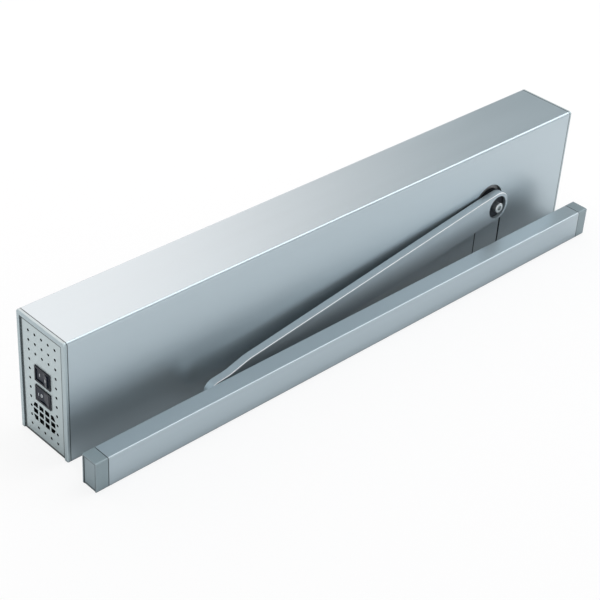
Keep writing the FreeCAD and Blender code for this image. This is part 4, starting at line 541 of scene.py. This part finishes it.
casing_satin = anodised("casing_satin", CASING_COLOUR, shaded_end_node="cover")
panel_low, panel_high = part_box("cover_slot_insert")
panel_satin = anodised(
    "panel_satin",
    CASING_COLOUR,
    shaded_end_node="cover_slot_insert",
    end_shade_width=(panel_high.x - panel_low.x) / 2 - PANEL_CLEAR_HALF_WIDTH,
)
channel_satin = anodised(
    "channel_satin",
    CHANNEL_COLOUR,
    gloss=CHANNEL_GLOSS,
    shaded_end_node="channel_rail",
)
arm_satin = anodised(
    "arm_satin",
    ARM_COLOUR,
    gloss=ARM_GLOSS,
    turned=-ARM_SLOPE,
    chamfer_highlight=True,
    metallic=ARM_METALLIC,
)
for satin in (casing_satin, panel_satin, channel_satin, arm_satin):
    print(satin.name, "with", len(satin.node_tree.nodes), "nodes")

# %% [markdown]
# ## Punched end plate and moulded silver rims
#
# The perforated plate at the switch end is punched from sheet, so its grain has no direction. The
# walls of its holes are darkened as painted shade, found by the way they face, and its border takes
# painted shade from the rim. The rims and the channel's caps are plastic moulded in a silver-grey
# with metal flakes in it: less metallic than the extrusions, with the fine spark-eroded texture of
# the mould. A dark line is painted where a cap's end is sunk in its rim, as shade in that corner.

# %% Punched plate and moulded silver
PLATE_BORDER = 0.0027
PLATE_METALLIC = 0.9
PLATE_JOINT_CLOSED = 0.55
PLATE_JOINT_DARKNESS = 0.08
HOLE_WALL_FADE = (0.4, 0.8)
HOLE_WALL_SHADE = 0.05


def punched_sheet(name, colour):
    """Fine-blasted sheet metal: grain without a direction, and slight waviness from the press."""
    material = bpy.data.materials.new(name)
    graph = Nodes(material)
    grain = graph.noise(graph.place(), per_metre=3600.0, detail=2)
    waves = graph.noise(graph.place(), per_metre=30.0, detail=2)
    base = graph.mix(0.6 * waves + 0.4 * grain, tint(colour, 0.95), tint(colour, 1.05))
    # painted shade in the holes and grooves of the plate
    base = painted_joint_shade(graph, colour, base, PLATE_JOINT_CLOSED, PLATE_JOINT_DARKNESS)
    # painted shade of the rim on the plate's border
    base = painted_border_shade(graph, colour, base, "end_plate_left", (1, 2), PLATE_BORDER)
    # painted shade: the walls of the holes, which don't face along X, are darkened
    flat = graph.remap(abs(graph.facing(0)), *HOLE_WALL_FADE)
    base = graph.mix(flat, tint(colour, HOLE_WALL_SHADE), base)
    height = 0.15 * grain + 0.85 * waves
    finish_output(
        graph,
        Base_Color=base,
        Metallic=PLATE_METALLIC,
        Roughness=0.38 + 0.08 * grain,
        Normal=graph.relief(height, depth=1.0e-5),
    )
    return material


CAP_SHADE_INSET = 0.0024
CAP_SHADE_WIDTH = 0.0010


def moulded_silver(name, colour, metallic=0.55, shade_line_node=None):
    """Plastic with metal flakes: a fine eroded texture, and flakes that brighten single spots."""
    material = bpy.data.materials.new(name)
    graph = Nodes(material)
    texture = graph.noise(graph.place(), per_metre=2600.0, detail=2)
    flakes = graph.remap(graph.noise(graph.place(), per_metre=6400.0, detail=0), low=0.62, high=0.72)
    flow = graph.noise(graph.place(), per_metre=35.0, detail=2)
    plain = graph.mix(flow, tint(colour, 0.95), tint(colour, 1.04))
    # painted shade in grooves and inner corners
    base = painted_joint_shade(graph, colour, graph.mix(0.35 * flakes, plain, tint(colour, 1.35)))
    if shade_line_node:
        # painted shade: a dark line in the corner where the cap's end is sunk in its rim
        line = {"width": CAP_SHADE_INSET, "line": CAP_SHADE_WIDTH}
        base = painted_border_shade(graph, colour, base, shade_line_node, (1, 2), **line)
    finish_output(
        graph,
        Base_Color=base,
        Metallic=metallic,
        Roughness=0.36 + 0.10 * texture,
        Normal=graph.relief(texture, depth=6.0e-6),
    )
    return material


plate_satin = punched_sheet("plate_satin", (0.505, 0.580, 0.592))
rim_silver = moulded_silver("rim_silver", (0.430, 0.510, 0.535), metallic=0.75)
cap_silver = moulded_silver("cap_silver", (0.265, 0.328, 0.352), shade_line_node="channel_cap_left")
print("plate and rims:", plate_satin.name, rim_silver.name, cap_silver.name)

# %% [markdown]
# ## Dark plastics
#
# Switch bodies, rockers, the slider and the trays inside are all dark plastics. What tells them
# apart is the texture of their moulds and their gloss: a rocker is smooth and a little shiny, where
# a tray is matt. The colour is never a dead black, because plastic always has some bloom on it.

# %% Moulded plastics
PLASTIC_SHEEN = 0.22


def moulded(name, colour, gloss, texture_depth):
    """Moulded plastic: a pebbled texture of the given depth, and patches of duller bloom."""
    material = bpy.data.materials.new(name)
    graph = Nodes(material)
    pebbles = graph.noise(graph.place(), per_metre=1500.0, detail=2)
    bloom = graph.remap(graph.noise(graph.place(), per_metre=60.0, detail=3), low=0.35, high=0.75)
    base = graph.mix(bloom, tint(colour, 0.9), tint(colour, 1.25))
    finish_output(
        graph,
        Base_Color=base,
        Roughness=gloss + 0.12 * bloom,
        Specular_IOR_Level=PLASTIC_SHEEN,
        Normal=graph.relief(pebbles, texture_depth),
    )
    return material


PLASTICS = {
    "switch_black": ((0.009, 0.012, 0.019), 0.34, 6e-6),
    "rocker_black": ((0.013, 0.018, 0.029), 0.26, 3e-6),
    "slider_black": ((0.030, 0.030, 0.033), 0.45, 1e-5),
    "tray_grey": ((0.045, 0.047, 0.052), 0.50, 1.5e-5),
    "terminal_green": ((0.020, 0.170, 0.060), 0.42, 8e-6),
    "component_black": ((0.018, 0.018, 0.020), 0.48, 1e-5),
    "mark_white": ((0.700, 0.740, 0.760), 0.45, 2e-6),
}
plastic = {name: moulded(name, *values) for name, values in PLASTICS.items()}
print("plastics:", len(plastic))

# %% [markdown]
# ## Steel, zinc and cast metal
#
# Inside, each process leaves its own surface. Ground shafts and bearings show rings round their
# axis; gears and the cam are milled; the spring is blackened; the plates are zinc-coated, with the
# coating's crystals; the housings are cast and blasted, so they are rough in every direction.

# %% Ground, milled and blackened steel
def turned_steel(name, colour, gloss, ring_depth=2.0e-6, metallic=1.0):
    """Steel turned or ground about Y: rings spaced along the axis, and light stains."""
    material = bpy.data.materials.new(name)
    graph = Nodes(material)
    rings = graph.noise(graph.place((0.01, 1, 0.01)), per_metre=2500.0, detail=3)
    stains = graph.remap(graph.noise(graph.place(), per_metre=90.0, detail=3), low=0.4, high=0.8)
    base = graph.mix(stains, tint(colour, 1.05), tint(colour, 0.82))
    finish_output(
        graph,
        Base_Color=base,
        Metallic=metallic,
        Roughness=gloss + 0.10 * stains + 0.06 * rings,
        Normal=graph.relief(rings, ring_depth),
    )
    return material


BLACKENED_METALLIC = 0.9
ground_steel = turned_steel("ground_steel", (0.56, 0.57, 0.58), gloss=0.20)
milled_steel = turned_steel("milled_steel", (0.42, 0.43, 0.44), gloss=0.30, ring_depth=4e-6)
blackened_steel = turned_steel(
    "blackened_steel",
    (0.030, 0.034, 0.042),
    gloss=0.40,
    metallic=BLACKENED_METALLIC,
)
spring_black = turned_steel(
    "spring_black",
    (0.075, 0.077, 0.085),
    gloss=0.32,
    metallic=BLACKENED_METALLIC,
)
bright_zinc = turned_steel("bright_zinc", (0.62, 0.66, 0.67), gloss=0.28, ring_depth=1e-6)
motor_zinc = turned_steel("motor_zinc", (0.26, 0.27, 0.29), gloss=0.34)
print("steels:", ground_steel.name, milled_steel.name, blackened_steel.name, spring_black.name)

# %% Cast and zinc-coated metal
def cast_blasted(name, colour):
    """Die-cast aluminium after blasting: small pits everywhere, on a slightly wavy skin."""
    material = bpy.data.materials.new(name)
    graph = Nodes(material)
    pits = graph.noise(graph.place(), per_metre=1400.0, detail=3, roughness=0.6)
    skin = graph.noise(graph.place(), per_metre=45.0, detail=2)
    base = graph.mix(0.5 * pits + 0.5 * skin, tint(colour, 0.86), tint(colour, 1.10))
    finish_output(
        graph,
        Base_Color=base,
        Metallic=0.85,
        Roughness=0.50 + 0.12 * pits,
        Normal=graph.relief(0.5 * pits + 0.5 * skin, depth=3e-5),
    )
    return material


def zinc_coated(name, colour):
    """Hot-dipped sheet: flat crystals some millimetres across, each with its own grey and gloss."""
    material = bpy.data.materials.new(name)
    graph = Nodes(material)
    cells = {"Vector": graph.place(), "Scale": 160.0, "Randomness": 1.0}
    crystal_colour = graph.add("ShaderNodeTexVoronoi", {}, cells, output="Color")
    crystal = graph.add("ShaderNodeSeparateColor", {}, {0: crystal_colour})
    grain = graph.noise(graph.place(), per_metre=1800.0, detail=2)
    base = graph.mix(0.8 * crystal + 0.2 * grain, tint(colour, 0.80), tint(colour, 1.12))
    finish_output(
        graph,
        Base_Color=base,
        Metallic=0.95,
        Roughness=0.34 + 0.16 * crystal,
        Normal=graph.relief(grain, depth=4e-6),
    )
    return material


housing_cast = cast_blasted("housing_cast", (0.40, 0.41, 0.42))
plate_zinc = zinc_coated("plate_zinc", (0.50, 0.52, 0.53))
print("inner housings:", housing_cast.name, plate_zinc.name)

# %% [markdown]
# ## The circuit board
#
# A board is glass cloth in green varnish. The copper tracks under the varnish show as a slightly
# lighter, raised pattern of straight runs, which a brick pattern with wide joints gives at once.

# %% Circuit board
def board_varnish(name, colour, track_colour):
    """Green varnish over tracks: lighter and raised where a track runs, with the cloth's weave."""
    material = bpy.data.materials.new(name)
    graph = Nodes(material)
    settings = {"offset": 0.37, "squash": 1.4, "squash_frequency": 3}
    tracks = {
        "Vector": graph.place(),
        "Scale": 90.0,
        "Mortar Size": 0.06,
        "Brick Width": 0.7,
        "Row Height": 0.22,
    }
    track = graph.add("ShaderNodeTexBrick", settings, tracks, output="Fac")
    weave = graph.noise(graph.place(), per_metre=2200.0, detail=1)
    base = graph.mix(track, tint(colour, 1.0), tint(track_colour, 1.0))
    finish_output(
        graph,
        Base_Color=base,
        Roughness=0.28 + 0.10 * weave,
        Normal=graph.relief(0.8 * track + 0.2 * weave, depth=2e-5),
    )
    return material


VARNISH_GREEN = (0.012, 0.120, 0.045)
TRACK_GREEN = (0.040, 0.260, 0.095)
board_green = board_varnish("board_green", VARNISH_GREEN, TRACK_GREEN)
print("board:", board_green.name)

# %% [markdown]
# ## Finish on each piece
#
# Every solid keeps its own mesh, and takes one finish. The list reads like the maker's own: a
# finish, then the pieces that get it. A piece that was forgotten stops the script, so nothing is
# left in plain grey.

# %% Finish on each piece
PIECES_BY_FINISH = {
    casing_satin: ["cover"],
    panel_satin: ["cover_slot_insert"],
    channel_satin: ["channel_rail"],
    arm_satin: ["arm"],
    plate_satin: ["end_plate_left", "end_plate_right"],
    rim_silver: ["end_frame_left", "end_frame_right"],
    cap_silver: ["channel_cap_left", "channel_cap_right"],
    plastic["switch_black"]: ["mains_switch_body", "programme_switch_body"],
    plastic["rocker_black"]: ["mains_rocker", "programme_rocker"],
    plastic["slider_black"]: ["slider_block"],
    plastic["tray_grey"]: ["control_tray", "motor_end_cap"],
    plastic["terminal_green"]: ["terminal_blocks"],
    plastic["component_black"]: ["board_components"],
    board_green: ["control_board"],
    ground_steel: ["spindle", "spindle_bearings", "lay_shaft_bushes", "lay_shaft", "motor_shaft",
                   "cam_roller", "roller_pin", "slider_pin"],
    milled_steel: ["output_gear", "middle_gear", "lay_shaft_pinion", "motor_pinion", "cam_disc",
                   "spring_abutment"],
    blackened_steel: ["spindle_hub", "arm_washer", "case_screws", "foot_screws", "adjuster_screw",
                      "pin_clip"],
    spring_black: ["closer_spring"],
    bright_zinc: ["arm_screw"],
    motor_zinc: ["motor_rotor", "motor_housing"],
    housing_cast: ["gearbox_body", "gear_cover", "cam_cover", "spring_carriage", "spring_tube",
                   "tube_saddles", "tube_end_disc", "channel_fixing_left", "channel_fixing_right"],
    plate_zinc: ["mounting_plate", "power_supply_case"],
}


def give_finish(piece, material):
    """Puts one finish in every material slot of a piece."""
    slots = piece.data.materials
    if not slots:
        slots.append(material)
    for index in range(len(slots)):
        slots[index] = material


finished = set()
for material, names in PIECES_BY_FINISH.items():
    for name in names:
        give_finish(nodes[name], material)
        finished.add(name)
missing = sorted(set(nodes) - finished)
if missing:
    raise ValueError("pieces without a finish: " + ", ".join(missing))
print("pieces with a finish:", len(finished))

# %% [markdown]
# ## The closing spring
#
# The solid stands for the spring with a square wire, which keeps it light. The real one is round
# wire, wound to an even pitch with one closed turn at each end, and its ends are ground flat so that
# it stands straight. A circle carried along a helix gives that: the pitch is a function of the turn,
# and clipping the points at the two end planes does the grinding. The spring shortens when the arm
# opens; the script reads the carriage's travel and prints it, and the coil keeps its rest length.

# %% Closing spring
SPRING_WIRE_RADIUS = 0.0025
SPRING_FREE_TURNS = 7.0
SPRING_CLOSED_TURNS = 1.0
SPRING_ROWS = 560
WIRE_COLUMNS = 14
SPRING_END_GAP = 0.00005


def coil_spring(name, low, high, mean_radius, centre_y, centre_z, material):
    """Round wire wound about X between two flat ends.

    The centreline's angle grows evenly. Its x grows by one wire thickness for each closed turn at
    the ends, and evenly over the free turns between. Each row of points is a circle of wire about
    the centreline, and x is then held between the two end planes. The first and last rows shrink
    to a point, which closes the wire.
    """
    turns = SPRING_FREE_TURNS + 2 * SPRING_CLOSED_TURNS
    turn = np.linspace(0, turns, SPRING_ROWS)
    closed_length = 2 * SPRING_WIRE_RADIUS * SPRING_CLOSED_TURNS
    free_end = high - low - closed_length
    turn_marks = [0, SPRING_CLOSED_TURNS, turns - SPRING_CLOSED_TURNS, turns]
    x_marks = [0, closed_length, free_end, free_end + closed_length]
    centre_x = low + np.interp(turn, turn_marks, x_marks)
    angle = 2 * np.pi * turn
    round_wire = np.linspace(0, 2 * np.pi, WIRE_COLUMNS, endpoint=False)
    size = np.full(SPRING_ROWS, SPRING_WIRE_RADIUS)
    size[[0, -1]] = 0
    out = mean_radius + size[:, None] * np.cos(round_wire)
    x = np.clip(centre_x[:, None] + size[:, None] * np.sin(round_wire), low, high)
    y = centre_y + out * np.cos(angle)[:, None]
    z = centre_z + out * np.sin(angle)[:, None]
    return grid_surface(name, np.stack([x, y, z], axis=-1), closed_round=True, material=material)


solid_low, solid_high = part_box("closer_spring")
spring_centre = (solid_low + solid_high) / 2
spring_radius = (solid_high.z - solid_low.z) / 2 - SPRING_WIRE_RADIUS
spring_coil = coil_spring(
    "spring_coil",
    solid_low.x + SPRING_END_GAP,
    solid_high.x - SPRING_END_GAP,
    spring_radius,
    spring_centre.y,
    spring_centre.z,
    spring_black,
)
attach(spring_coil, "operator")
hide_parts("closer_spring")
carriage_slide = next(joint for joint in frame["joints"] if joint["name"] == "carriage_slide")
travel = carriage_slide["range_m"][1]
spring_length = solid_high.x - solid_low.x
(spring_length - travel) / spring_length
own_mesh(spring_coil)
print("spring radius:", round(spring_radius * 1000, 2), "mm")
print("spring travel:", round(travel * 1000, 1), "mm")

# %% [markdown]
# ## The marks on the switches
#
# Snap-in rockers carry an I for on and an O for off, printed in light grey. A print has almost no
# thickness, but a flat sheet laid on the plastic would flicker with it, so each mark is a closed
# pad a tenth of a millimetre thick that follows the rocker's slope. The slope is read from the
# rocker's own faces.

# %% The rocker's face
MARK_THICKNESS = 0.0001
MARK_SINK = 0.00004
OUTWARD = -0.9


def rocker_face(node, side):
    """Normal and distance of the rocker's visible face on one side (+1 for +Y, -1 for -Y)."""
    mesh = nodes[node].data
    count = len(mesh.polygons)
    normals = np.zeros(count * 3)
    centres = np.zeros(count * 3)
    areas = np.zeros(count)
    mesh.polygons.foreach_get("normal", normals)
    mesh.polygons.foreach_get("center", centres)
    mesh.polygons.foreach_get("area", areas)
    normals = normals.reshape(-1, 3)
    centres = centres.reshape(-1, 3)
    facing = (normals[:, 0] < OUTWARD) & (centres[:, 1] * side > 0)
    weight = np.where(facing, areas, 0)
    normal = (normals * weight[:, None]).sum(0)
    normal /= np.linalg.norm(normal)
    return normal, float((centres @ normal * weight).sum() / weight.sum())


def on_face(face, across, up_along, lift):
    """Points at (y, z) on a face, lifted off it: x comes from the face's plane equation."""
    normal, distance = face
    x = (distance - normal[1] * across - normal[2] * up_along) / normal[0]
    flat = np.stack([x, across, up_along], axis=-1)
    return flat + lift[..., None] * normal


face_normal, face_distance = rocker_face("mains_rocker", 1)
print("mains rocker faces", face_normal.round(3), "at", round(face_distance * 1000, 2), "mm")

# %% Shapes of the two marks
BAR_POINTS_AROUND = 40
BAR_POINTS_OVER = 13


def squared(value):
    """The square root of a value's size with its sign, which squares a circle's corners."""
    return np.sign(value) * np.abs(value) ** 0.5


def bar_mark(name, face, y, z, half_width, half_height):
    """A rounded bar: a superellipse of exponent 4 swept to a pad with a soft rim.

    Around the pad the outline is (cos, sin) raised to one half, and across it the same curve
    runs from the underside's middle to the top's middle, so the surface is closed.
    """
    around = np.linspace(0, 2 * np.pi, BAR_POINTS_AROUND, endpoint=False)
    over = np.linspace(-np.pi / 2, np.pi / 2, BAR_POINTS_OVER)
    reach = squared(np.cos(over))[:, None]
    across = y + half_width * reach * squared(np.cos(around))
    along = z + half_height * reach * squared(np.sin(around))
    lift = (MARK_THICKNESS / 2) * squared(np.sin(over)) + MARK_THICKNESS / 2 - MARK_SINK
    lift = np.broadcast_to(lift[:, None], across.shape)
    points = on_face(face, across, along, lift)
    return grid_surface(name, points, closed_round=True, material=plastic["mark_white"])


RING_POINTS_AROUND = 48
RING_POINTS_PROFILE = 12


def ring_mark(name, face, y, z, half_width, half_height, stroke):
    """A ring: a flattened round profile carried along an ellipse.

    Around the ring the middle of the stroke is (cos, sin) times the ellipse's half sizes. Across
    it the cosine of the profile's angle moves a point in or out, and one plus its sine lifts it.
    """
    around = np.linspace(0, 2 * np.pi, RING_POINTS_AROUND, endpoint=False)
    profile = np.linspace(0, 2 * np.pi, RING_POINTS_PROFILE, endpoint=False)
    reach = (stroke / 2) * np.cos(profile)
    across = y + (half_width - stroke / 2 + reach) * np.cos(around)[:, None]
    along = z + (half_height - stroke / 2 + reach) * np.sin(around)[:, None]
    lift = (MARK_THICKNESS / 2) * (1 + np.sin(profile)) - MARK_SINK
    lift = np.broadcast_to(lift, across.shape)
    points = on_face(face, across, along, lift)
    white = plastic["mark_white"]
    return grid_surface(name, points, closed_round=True, closed_along=True, material=white)

# %% Marks on both rockers
MARK_HALF_HEIGHT = 0.0017
RING_HALF_WIDTH = 0.0012
MARK_STROKE = 0.0006

# shape, rocker, the rocker's body, the rocker's half that carries the mark, the mark's y
SWITCH_MARKS = [
    ("bar", "mains_rocker", "mains_rocker_body", 1, 0.0050),
    ("ring", "mains_rocker", "mains_rocker_body", -1, -0.0050),
    ("bar", "programme_rocker", "programme_rocker_body", 1, 0.0064),
    ("ring", "programme_rocker", "programme_rocker_body", 1, 0.0026),
]
for shape, node, body, side, y in SWITCH_MARKS:
    low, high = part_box(node)
    face = rocker_face(node, side)
    middle_z = (low.z + high.z) / 2
    if shape == "bar":
        half_sizes = (MARK_STROKE / 2, MARK_HALF_HEIGHT)
        mark = bar_mark(f"{node}_mark_on", face, y, middle_z, *half_sizes)
    else:
        half_sizes = (RING_HALF_WIDTH, MARK_HALF_HEIGHT)
        mark = ring_mark(f"{node}_mark_off", face, y, middle_z, *half_sizes, MARK_STROKE)
    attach(mark, body)
    print(mark.name, "at", [round(v * 1000, 1) for v in (y, middle_z)], "mm")
